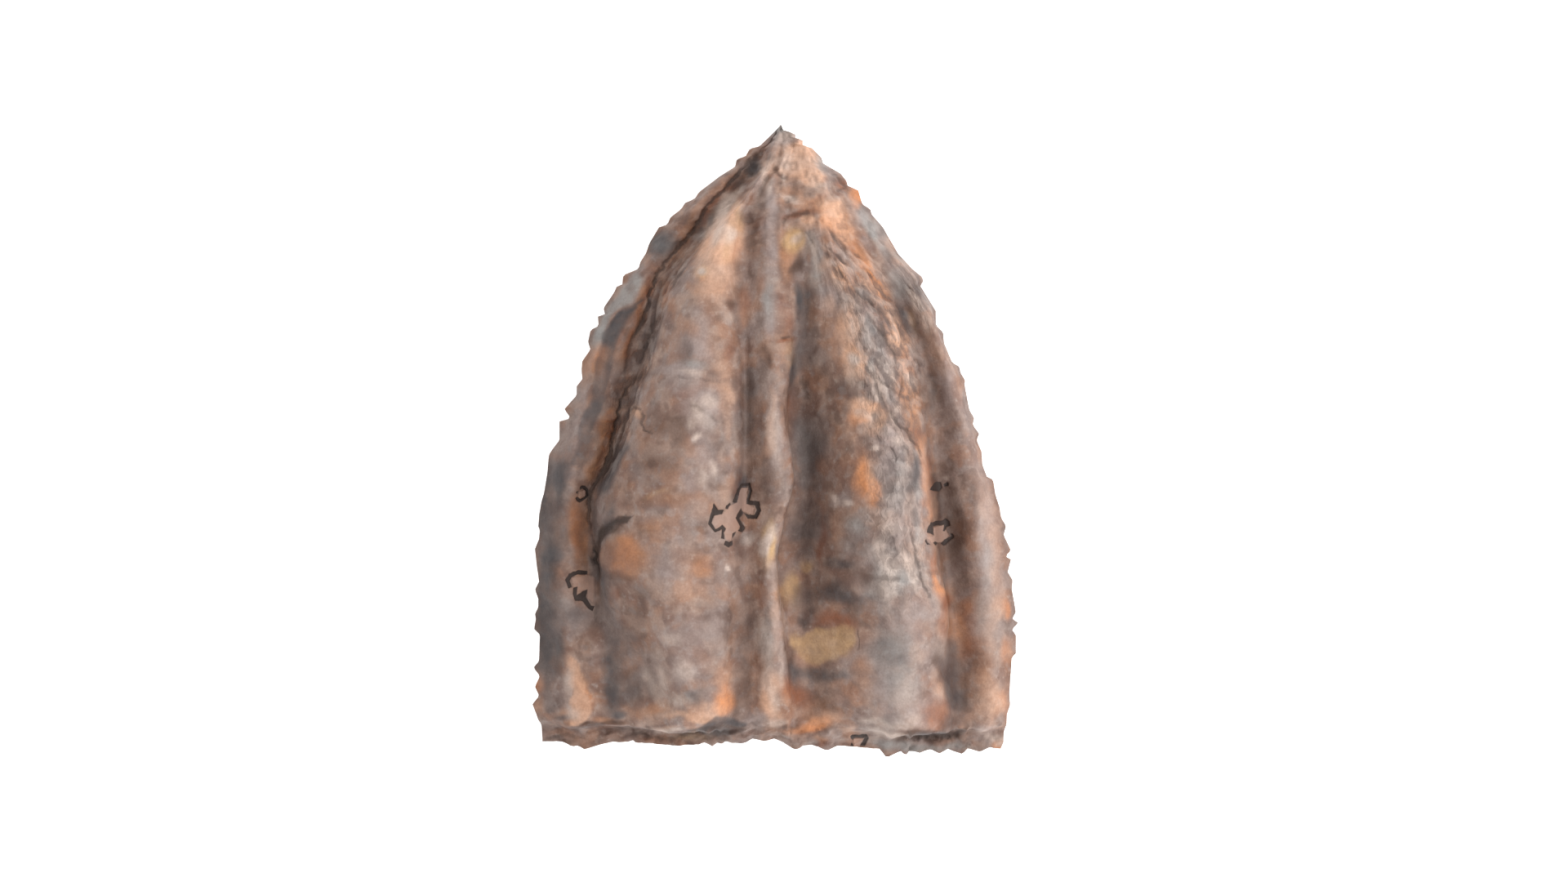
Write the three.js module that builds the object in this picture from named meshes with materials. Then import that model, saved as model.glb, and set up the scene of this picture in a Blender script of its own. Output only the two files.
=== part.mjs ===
// A pointed piece of fossil bone that lies on its broken back.
// Its upper side is weathered bone skin: two broad lobes, a thin ridge between them, and a low margin on
// each side, which all run together at the tip. The rim is chipped to a row of small teeth, and the bone
// below it is the rough inside of the break, down to the flat patch that it rests on.
// Millimetres. X is across, Y points at the tip, Z is up, and the origin is under the middle of the piece.
import * as THREE from "three";
import { mergeVertices } from "three/addons/utils/BufferGeometryUtils.js";

// Driving dimensions
const LENGTH = 244; // from the broken end to the tip
const RIM_HEIGHT = 13; // of the rim at both ends, above the resting face
const TIP_X = 2; // the tip leans a little to the right
const SHOULDER_Y = 112; // where the lines stop converging and the tip's point starts
const END_Y = -115; // the lines' lower end, from which the broken end is measured
const CHIP_DEPTH = 1.3; // how far the small notches between the rim's corners reach in
const ROW_STEP = 3.2; // spacing of the rows along the body

const TIP_Y = LENGTH / 2;

// The corners of the broken rim, as [x, y]: straight between them.
const LEFT_RIM = [
  [-90.3, -113.4], [-90, -108], [-91.8, -98.8], [-89.3, -88.4], [-92.6, -85.3], [-89.5, -79], [-91.2, -65],
  [-90.7, -42], [-89.5, -32.6], [-88.5, -23.3], [-86.7, -14], [-85.7, -4.7], [-82.3, -0.5], [-81.9, 7.1],
  [-77.7, 9.5], [-78.6, 14], [-75.5, 18.6], [-73.6, 28], [-70.2, 42], [-64.8, 51.3], [-57.7, 60.6],
  [-53.3, 65.3], [-48.1, 74.7], [-36.1, 89], [-25.2, 98.5], [-14.6, 108], [-8.6, 112], [-1.5, 117.8],
];
const RIGHT_RIM = [
  [88.2, -113.2], [88.8, -102.7], [90, -88.4], [91.4, -79], [92.5, -69], [90.6, -60.5], [89.7, -42],
  [87.9, -32.6], [84.8, -23.3], [82.6, -14.2], [79.5, -9.3], [78.9, -4.7], [76.7, 4.7], [73.6, 14],
  [72.4, 23.2], [69.8, 28.2], [66.8, 32.6], [64.3, 42], [61, 51.3], [57.6, 56], [57, 60.8], [49.3, 70],
  [43.1, 79.4], [36.6, 89], [28.6, 98.5], [25.2, 103.3], [18.3, 108], [15.2, 112.6], [11.1, 116],
  [8.3, 118.4],
];
const BROKEN_END = [
  [-89.6, -115.6], [-78, -117.8], [-73.6, -118.7], [-62.2, -115.3], [-52.8, -116.2], [-40.2, -117.5],
  [-27.6, -115.9], [-23.8, -117.5], [-19.7, -115.6], [-8.7, -114], [0, -114], [7, -118.4], [11.8, -116.5],
  [20.3, -119], [24.3, -117.1], [41, -118.4], [43.2, -TIP_Y], [47.5, -119.5], [50.3, -121.7],
  [53.5, -119], [63.7, -120.3], [73.2, -120.9], [76.3, -118.7], [87.6, -118.7],
];

// A smooth curve through [position, value] pairs that never overshoots them.
function curveThrough(points) {
  const slopes = points.slice(1).map(([p, v], i) => (v - points[i][1]) / (p - points[i][0]));
  const tangents = points.map((_, i) => {
    if (i === 0) return slopes[0];
    if (i === slopes.length) return slopes[i - 1];
    const [before, after] = [slopes[i - 1], slopes[i]];
    return before * after <= 0 ? 0 : (2 * before * after) / (before + after);
  });
  return (position) => {
    const p = THREE.MathUtils.clamp(position, points[0][0], points.at(-1)[0]);
    let i = 0;
    while (i < slopes.length - 1 && p > points[i + 1][0]) i += 1;
    const span = points[i + 1][0] - points[i][0];
    const t = (p - points[i][0]) / span;
    return (
      (2 * t ** 3 - 3 * t ** 2 + 1) * points[i][1] +
      (t ** 3 - 2 * t ** 2 + t) * span * tangents[i] +
      (3 * t ** 2 - 2 * t ** 3) * points[i + 1][1] +
      (t ** 3 - t ** 2) * span * tangents[i + 1]
    );
  };
}

// Straight lines between [position, value] pairs.
function straightThrough(points) {
  return (position) => {
    const p = THREE.MathUtils.clamp(position, points[0][0], points.at(-1)[0]);
    const i = Math.max(1, points.findIndex(([at]) => at >= p));
    const [[p0, v0], [p1, v1]] = [points[i - 1], points[i]];
    return THREE.MathUtils.lerp(v0, v1, (p - p0) / (p1 - p0));
  };
}

// The lengthwise swell of every form: a steep climb from the flange at the broken end, a long back, and a
// slow fall to the tip.
const rise = curveThrough([
  [-115, 0], [-109.5, 0.12], [-105, 0.8], [-98, 0.93], [-65, 0.98], [-24, 1], [18, 0.96],
  [42, 0.9], [60, 0.81], [82, 0.64], [97, 0.44], [112, 0.18], [120, 0.06],
]);

// The lines that the skin is drawn through, from the left rim to the right one. Each has its path as
// [y, x] points from the broken end to the tip, its height where the back is highest, and the number of
// facets between it and the next line.
const LINES = [
  // left rim
  { facets: 2, height: 22, corners: LEFT_RIM },
  // left plate
  {
    facets: 3, height: 27,
    path: [[-115, -81], [-80, -77], [-50, -81], [-18, -78.5], [12, -69.5], [43, -60.5], [65, -47],
      [84, -34.5], [98, -21], [112, -5.5]],
  },
  // left crease
  {
    facets: 1, height: [[-98, 34], [-79, 33], [-67, 25], [-50, 19], [-20, 16], [80, 16]],
    path: [[-115, -62], [-97, -57.5], [-79, -60.5], [-68, -65], [-50, -68.5], [-25, -71.5], [-6, -66.5],
      [18, -59.5], [43, -53], [62, -46], [84, -28], [98, -17.5], [112, -4]],
  },
  // left lobe lip
  {
    facets: 2, height: [[-98, 39], [-66, 36], [-49, 32], [-24, 30], [80, 31]],
    path: [[-115, -54], [-96, -50], [-78, -53.5], [-66, -61.5], [-49, -68], [-25, -71.5], [-6, -66],
      [18, -59], [43, -52], [62, -45], [84, -25.5], [98, -14.5], [112, -2]],
  },
  // left lobe shoulder
  {
    facets: 4, height: [[-98, 47], [-24, 44], [80, 44]],
    path: [[-115, -46.5], [-95, -40.5], [-65, -51], [-47, -58], [-24, -61], [0, -54], [24, -48],
      [42, -43.5], [60, -36.5], [82, -21], [97, -12], [112, -0.5]],
  },
  // left lobe crest
  {
    facets: 4, height: 54,
    path: [[-115, -34], [-97, -30], [-64, -35.5], [-23, -37.5], [18, -32.5], [42, -29], [60, -24],
      [82, -17], [97, -9.5], [112, 1]],
  },
  // left lobe fall
  {
    facets: 1, height: 51,
    path: [[-115, -19.5], [-65, -18], [-24, -18], [42, -17], [60, -16.5], [82, -15], [97, -8], [112, 1.5]],
  },
  // left lobe edge
  {
    facets: 2, height: 45,
    path: [[-115, -14.5], [-65, -14.5], [-24, -14.5], [18, -13.5], [60, -13], [82, -12], [97, -6.5],
      [112, 2.5]],
  },
  // left furrow
  {
    facets: 1, height: [[-98, 37], [18, 35], [42, 39], [80, 42]],
    path: [[-115, -10], [-24, -9.5], [18, -9.5], [42, -10], [60, -9.5], [82, -8.5], [97, -5], [112, 3.5]],
  },
  // ridge foot
  {
    facets: 2, height: [[-24, 39], [42, 42], [80, 45]],
    path: [[-115, -5.5], [-24, -4.5], [18, -4.5], [42, -6.5], [82, -6], [97, -3.5], [112, 4]],
  },
  // ridge crest
  {
    facets: 2, height: [[-24, 45], [42, 49], [80, 51]],
    path: [[-115, -1], [-65, -1], [-45, -2.5], [-24, 0.5], [18, 1], [42, -2], [82, -2], [97, -1.5], [112, 5]],
  },
  // ridge edge
  {
    facets: 2, height: [[-24, 42], [42, 45], [80, 49]],
    path: [[-115, 4.5], [-99, 5.5], [-72, 3], [-45, 0.5], [-30, 3], [-13, 6.5], [12, 4], [30, 8],
      [42, 7.5], [60, 4.5], [82, 2], [97, 1.5], [112, 6.5]],
  },
  // right furrow
  {
    facets: 2, height: [[-98, 38], [-72, 35], [-45, 31], [12, 32], [42, 35], [80, 47]],
    path: [[-115, 11.5], [-100, 12.5], [-73, 8.5], [-45, 5.5], [-13, 10], [12, 8.5], [30, 12], [42, 12.5],
      [60, 10.5], [82, 6.5], [97, 5], [112, 7.5]],
  },
  // right lobe step
  {
    facets: 2, height: [[-98, 41], [-45, 36], [12, 38], [42, 43], [80, 49]],
    path: [[-115, 19.5], [-99, 22], [-72, 20.5], [-45, 17], [12, 18.5], [42, 17.5], [60, 16], [82, 11.5],
      [97, 8.5], [112, 9]],
  },
  // right lobe slope
  {
    facets: 4, height: [[-98, 46], [-72, 46], [-45, 49], [42, 51]],
    path: [[-115, 35.5], [-72, 34], [-45, 30.5], [12, 29], [42, 24], [60, 19.5], [82, 14.5], [97, 12.5],
      [112, 10]],
  },
  // right lobe crest
  {
    facets: 4, height: [[-98, 49], [-72, 51], [-44, 54]],
    path: [[-115, 51], [-71, 48.5], [-44, 46], [-13, 43.5], [12, 39], [42, 32.5], [60, 26], [82, 17.5],
      [97, 15.5], [112, 11.5]],
  },
  // right lobe edge
  {
    facets: 3, height: [[-98, 41], [-60, 43], [-44, 46]],
    path: [[-115, 63.5], [-99, 63.5], [-84, 59.5], [-62, 63], [-44, 57.5], [-13, 54.5], [12, 49.5],
      [42, 42.5], [60, 34], [82, 21.5], [97, 18.5], [112, 12.5]],
  },
  // outer furrow
  {
    facets: 3, height: [[-98, 28], [-45, 24], [42, 27], [82, 36]],
    path: [[-115, 70.5], [-74, 69], [-46, 68], [-14, 65], [12, 61.5], [43, 51.5], [61, 41.5], [83, 26.5],
      [97, 21], [112, 13]],
  },
  // right margin
  {
    facets: 3, height: [[-98, 32], [12, 34], [60, 38]],
    path: [[-115, 82], [-73, 82], [-45, 80.5], [-13, 75.5], [12, 68.5], [42, 58.5], [61, 49], [82, 33],
      [97, 24], [112, 13.5]],
  },
  // right rim
  { facets: 0, height: 24, corners: RIGHT_RIM },
].map((line) => ({
  facets: line.facets,
  x: line.corners ? straightThrough(line.corners.map(([x, y]) => [y, x])) : curveThrough(line.path),
  height: Array.isArray(line.height) ? curveThrough(line.height) : () => line.height,
}));

// A repeatable number from 0 to 1 for each whole number.
function pick(seed) {
  const wave = Math.sin(seed * 12.9898 + 4.1) * 43758.5453;
  return wave - Math.floor(wave);
}

// Smooth random relief from -1 to 1 on a unit grid.
function relief(x, y, seed) {
  const [column, row] = [Math.floor(x), Math.floor(y)];
  const fade = (t) => t * t * (3 - 2 * t);
  const [s, t] = [fade(x - column), fade(y - row)];
  const value = (i, j) => 2 * pick((column + i) * 57 + (row + j) * 131 + seed) - 1;
  const low = THREE.MathUtils.lerp(value(0, 0), value(1, 0), s);
  const high = THREE.MathUtils.lerp(value(0, 1), value(1, 1), s);
  return THREE.MathUtils.lerp(low, high, t);
}

// The uneven swell of the skin: broad lumps, and smaller ones over them.
const LUMPS = [
  { height: 0.8, width: 12, length: 18, seed: 7 },
  { height: 0.4, width: 6, length: 10, seed: 31 },
];

function lumps(x, y) {
  return LUMPS.reduce((sum, lump) =>
    sum + lump.height * relief(x / lump.width, y / lump.length, lump.seed), 0);
}

// The round swelling low on the left lobe, and the curved fold around its upper left side.
const SWELLING = { x: -56, y: -43, radius: 11, height: 1.6, fold: 1.4, foldWidth: 2.2 };

function swelling(x, y) {
  const away = Math.hypot(x - SWELLING.x, y - SWELLING.y);
  const dome = SWELLING.height * Math.exp(-((away / SWELLING.radius) ** 2) * 1.4);
  const facing = Math.max(0, (SWELLING.x - x + y - SWELLING.y) / (1.4 * Math.max(away, 1)));
  const fold = SWELLING.fold * facing * Math.exp(-(((away - SWELLING.radius) / SWELLING.foldWidth) ** 2));
  return dome - fold;
}

// Rows near the broken end follow its corners, and rows further up forget them.
const brokenEnd = straightThrough(BROKEN_END);

function rowY(x, y) {
  const share = THREE.MathUtils.clamp((SHOULDER_Y - y) / (SHOULDER_Y - END_Y), 0, 1) ** 12;
  return y + share * (brokenEnd(x) - END_Y);
}

// Past the shoulder the lines keep their shares of what is left of the width.
function lineX(line, y) {
  if (y <= SHOULDER_Y) return line.x(y);
  const [left, right] = [LINES[0], LINES.at(-1)];
  const share = (line.x(SHOULDER_Y) - left.x(SHOULDER_Y)) / (right.x(SHOULDER_Y) - left.x(SHOULDER_Y));
  return THREE.MathUtils.lerp(left.x(y), right.x(y), share);
}

// A point of the skin: y along the piece, place counted in lines from the left rim.
function skinPoint(y, place) {
  const last = LINES.length - 1;
  const knots = LINES.map((line) =>
    new THREE.Vector3(lineX(line, y), 0, RIM_HEIGHT + (line.height(y) - RIM_HEIGHT) * rise(y)));
  const point = new THREE.CatmullRomCurve3(knots, false, "centripetal").getPoint(place / last);
  const inner = Math.min(1, place, last - place) * Math.min(1, rise(y) * 1.5);
  point.z += inner * (lumps(point.x, y) + swelling(point.x, y));
  point.y = rowY(point.x, y);
  return point;
}

// The rim takes each corner where a row comes near it, and is nicked a little between them.
function rimPoint(y, place, corners, inward) {
  const point = skinPoint(y, place);
  const corner = corners.find(([, at]) => Math.abs(at - y) <= ROW_STEP / 2 && y > END_Y);
  if (corner) {
    [point.x, point.y] = corner;
  } else if (y > END_Y && y < SHOULDER_Y) {
    point.x += inward * (0.3 + 0.7 * pick(Math.round(y * 7))) * CHIP_DEPTH;
  }
  return point;
}

function rowPositions() {
  const flange = [END_Y, -112, -109.5, -107.5, -105, -101.5];
  const body = Math.round((108 + 98) / ROW_STEP);
  const back = Array.from({ length: body + 1 }, (_, i) => -98 + (206 * i) / body);
  return [...flange, ...back, SHOULDER_Y, 115, 118];
}

function placesAcross() {
  return LINES.flatMap(({ facets }, i) =>
    Array.from({ length: Math.max(facets, 1) }, (_, j) => i + j / Math.max(facets, 1)));
}

// The break below the rim: each ring is the rim drawn in by a factor, at its share of the rim's height.
const BREAK_RINGS = [
  { scale: 0.972, height: 0.68 },
  { scale: 0.962, height: 0.34 },
  { scale: 0.9, height: 0 },
];

function boneGeometry() {
  const places = placesAcross();
  const across = places.length;
  const rows = rowPositions().map((y) => [
    rimPoint(y, places[0], LEFT_RIM, 1),
    ...places.slice(1, -1).map((place) => skinPoint(y, place)),
    rimPoint(y, places[across - 1], RIGHT_RIM, -1),
  ]);
  // Each corner of the broken end is taken by the nearest point of the first row.
  for (const [x, y] of BROKEN_END) {
    const near = rows[0].reduce((best, p) => (Math.abs(p.x - x) < Math.abs(best.x - x) ? p : best));
    near.set(x, y, near.z);
  }
  const tip = new THREE.Vector3(TIP_X, TIP_Y, RIM_HEIGHT + 1.5);
  const points = [...rows.flat(), tip];
  const faces = [];
  for (let i = 0; i < rows.length - 1; i += 1) {
    for (let j = 0; j < across - 1; j += 1) {
      const at = i * across + j;
      faces.push([at, at + 1, at + across + 1], [at, at + across + 1, at + across]);
    }
  }
  const shoulder = (rows.length - 1) * across;
  const tipIndex = points.length - 1;
  for (let j = 0; j < across - 1; j += 1) faces.push([shoulder + j, shoulder + j + 1, tipIndex]);

  // The rim, anticlockwise from above: the broken end, the right side, the tip and the left side.
  let ring = [
    ...Array.from({ length: across }, (_, j) => j),
    ...Array.from({ length: rows.length - 1 }, (_, i) => (i + 2) * across - 1),
    tipIndex,
    ...Array.from({ length: rows.length - 1 }, (_, i) => (rows.length - 1 - i) * across),
  ];
  const rim = ring.map((i) => points[i].clone());
  for (const { scale, height } of BREAK_RINGS) {
    const below = rim.map((p, n) => {
      const rough = height > 0 ? 1.2 * relief(n / 2.5, height * 40, 77) : 0;
      const level = height > 0 ? p.z * height : 0;
      return points.push(new THREE.Vector3(p.x * scale + rough, p.y * scale + rough, level)) - 1;
    });
    ring.forEach((a, n) => {
      const next = (n + 1) % ring.length;
      faces.push([a, below[n], ring[next]], [ring[next], below[n], below[next]]);
    });
    ring = below;
  }

  // The resting face.
  const outline = ring.map((i) => new THREE.Vector2(points[i].x, points[i].y));
  for (const [a, b, c] of THREE.ShapeUtils.triangulateShape(outline, [])) {
    faces.push([ring[a], ring[c], ring[b]]);
  }

  const geometry = new THREE.BufferGeometry();
  geometry.setAttribute("position", new THREE.Float32BufferAttribute(points.flatMap((p) => p.toArray()), 3));
  geometry.setIndex(faces.flat());
  const merged = mergeVertices(geometry, 1e-3);
  merged.computeVertexNormals();
  return merged;
}

const bone = new THREE.Mesh(
  boneGeometry(),
  new THREE.MeshStandardMaterial({ color: 0x96796b, roughness: 0.75, metalness: 0 }),
);
bone.name = "bone";

const fossil = new THREE.Group();
fossil.add(bone);

export default fossil;
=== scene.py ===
"""A pointed piece of fossil bone that lies on its broken back on a pale table, seen from straight above."""

import math

import bmesh
import bpy
import numpy as np
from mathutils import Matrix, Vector
from mathutils.geometry import delaunay_2d_cdt


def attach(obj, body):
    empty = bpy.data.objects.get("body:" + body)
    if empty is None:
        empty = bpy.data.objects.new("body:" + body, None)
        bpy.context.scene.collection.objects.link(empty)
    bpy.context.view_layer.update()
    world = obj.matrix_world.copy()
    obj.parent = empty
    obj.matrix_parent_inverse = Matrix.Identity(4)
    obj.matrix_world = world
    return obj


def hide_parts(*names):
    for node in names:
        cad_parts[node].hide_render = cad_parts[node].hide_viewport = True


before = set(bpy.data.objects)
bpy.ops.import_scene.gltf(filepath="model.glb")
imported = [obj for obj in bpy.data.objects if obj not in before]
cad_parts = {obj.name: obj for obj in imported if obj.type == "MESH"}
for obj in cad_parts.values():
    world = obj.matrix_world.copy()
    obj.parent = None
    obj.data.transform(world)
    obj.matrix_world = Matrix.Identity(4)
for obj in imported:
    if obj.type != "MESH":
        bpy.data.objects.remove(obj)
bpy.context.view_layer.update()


# Camera
# A camera on a copy stand, straight above the table, with the tip of the bone at the top of its picture.
# The marks on the bone are placed by pixels of that picture, which is 1920 wide and 1080 high.
PICTURE = (1920, 1080)
LENS = 35.0
SENSOR = 36.0  # millimetres, as the lens
EYE = np.array([3.88, 0.0, 600.8])  # millimetres
MM = 0.001
FOCAL = PICTURE[0] * LENS / SENSOR  # pixels

camera_data = bpy.data.cameras.new("copy_stand_camera")
camera_data.lens = LENS
camera_data.sensor_width = SENSOR
camera = bpy.data.objects.new("copy_stand_camera", camera_data)
camera.location = EYE * MM
bpy.context.scene.collection.objects.link(camera)
bpy.context.scene.camera = camera


def in_picture(points):
    """Where points in millimetres are seen in the picture, in pixels."""
    away = EYE[2] - points[..., 2]
    across = PICTURE[0] / 2 + (points[..., 0] - EYE[0]) / away * FOCAL
    down = PICTURE[1] / 2 - (points[..., 1] - EYE[1]) / away * FOCAL
    return np.stack([across, down], axis=-1)


def under_pixel(pixels, height):
    """Where the pixels of the picture meet a height, or one for each, above the table, in millimetres."""
    scale = (EYE[2] - height) / FOCAL
    across = EYE[0] + (pixels[:, 0] - PICTURE[0] / 2) * scale
    along = EYE[1] - (pixels[:, 1] - PICTURE[1] / 2) * scale
    return np.stack([across, along], axis=-1)


# Bone: the skin
# The weathered outer side of the bone: two broad lobes with a thin ridge between them, a margin on each
# side, and furrows that run together at the tip. It is drawn through lines that run from the broken end to
# the tip, as a lofted hull is drawn through its stringers. Millimetres.
RIM_HEIGHT = 13.0
SHOULDER_Y = 112.0  # where the lines stop converging and the tip's point starts
END_Y = -115.0  # the lines' lower end, from which the broken end is measured
LEDGE_Y = -98.0  # where the ledge at the broken end meets the lobes
NARROW_Y = 100.0  # from here on the rows lie closer
LEDGE_ROWS = 30
ROW_STEP = 0.95
TIP_ROW_STEP = 0.6
COLUMN_STEP = 0.92
COLUMNS_PER_STEP = 1.12  # a few more, because the skin between two lines is longer than straight across

# Corners of the broken rim, in pixels of the picture: up the left side, up the right side, and along the
# broken end from left to right.
LEFT_CORNERS = [
    (664, 908), (661, 884), (657, 874), (652, 861), (660, 851), (655, 840), (661, 827), (653, 817),
    (660, 809), (661, 777), (654, 770), (656, 758), (655, 751), (659, 744), (659, 733), (655, 722),
    (660, 712), (657, 691), (655, 672), (660, 660), (661, 649), (659, 645), (660, 631), (663, 614),
    (666, 604), (670, 580), (672, 557), (677, 549), (685, 539), (685, 515), (695, 514), (698, 511),
    (691, 501), (706, 484), (706, 473), (713, 464), (712, 453), (713, 442), (723, 428), (720, 419),
    (723, 404), (733, 399), (732, 387), (741, 386.5), (739, 377), (752, 358), (755, 351), (762, 348),
    (763, 337), (782, 329), (784, 321), (791, 310), (795, 298), (807, 278), (817, 275), (821, 266),
    (834, 256), (839, 248), (850, 244), (856, 235), (881, 216), (900, 204), (902, 195), (913, 191),
    (918, 182), (930, 179), (956, 153),
]
RIGHT_CORNERS = [
    (1227, 917), (1224, 908), (1229, 899), (1233, 869), (1237, 858), (1236, 846), (1239, 803),
    (1244, 799), (1244, 776), (1239, 770), (1247, 762), (1239, 758), (1244, 749), (1239, 721),
    (1240, 710), (1234, 700), (1238, 685), (1231, 681), (1238, 674), (1229, 655), (1232, 644),
    (1226, 634), (1224, 621), (1219, 606), (1216, 587), (1209, 585), (1203, 569), (1202, 553),
    (1196, 539), (1199, 531), (1191, 520), (1193, 512), (1187, 502), (1181, 470), (1182, 466),
    (1176, 456), (1175, 449), (1166, 444), (1156, 420), (1155, 407), (1146, 398), (1146, 381),
    (1140, 371), (1127, 350), (1131, 344), (1129, 339), (1118, 330), (1100, 311), (1081, 278),
    (1067, 262), (1066, 256), (1056, 250), (1051, 233), (1038, 227), (1037, 222), (1029, 212),
    (1008, 200), (1006, 193), (994, 181), (983, 180), (983, 171), (974, 172), (974, 163), (961, 162),
    (956, 153),
]
END_CORNERS = [
    (664, 908), (682, 908), (690, 909), (700, 914.5), (708, 913), (715, 917.5), (750, 908), (768, 909),
    (775, 906.5), (777, 909), (792, 910), (814, 912), (824, 913.5), (855, 911), (862, 908.5), (873, 913),
    (879, 907.5), (884, 910), (888, 907), (912, 908.5), (921, 903), (935, 905.5), (948, 903), (958, 907),
    (972, 916.5), (979, 915.5), (982, 912), (994, 911), (1001, 912.5), (1013, 917.5), (1025, 912.5),
    (1077, 916), (1085, 927), (1105, 918), (1108, 927), (1114, 919.5), (1127, 922), (1137, 917.5),
    (1141, 918), (1150, 922), (1161, 917.5), (1179, 924), (1185, 916.5), (1199, 920.5), (1212, 915.5),
    (1227, 917),
]

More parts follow.
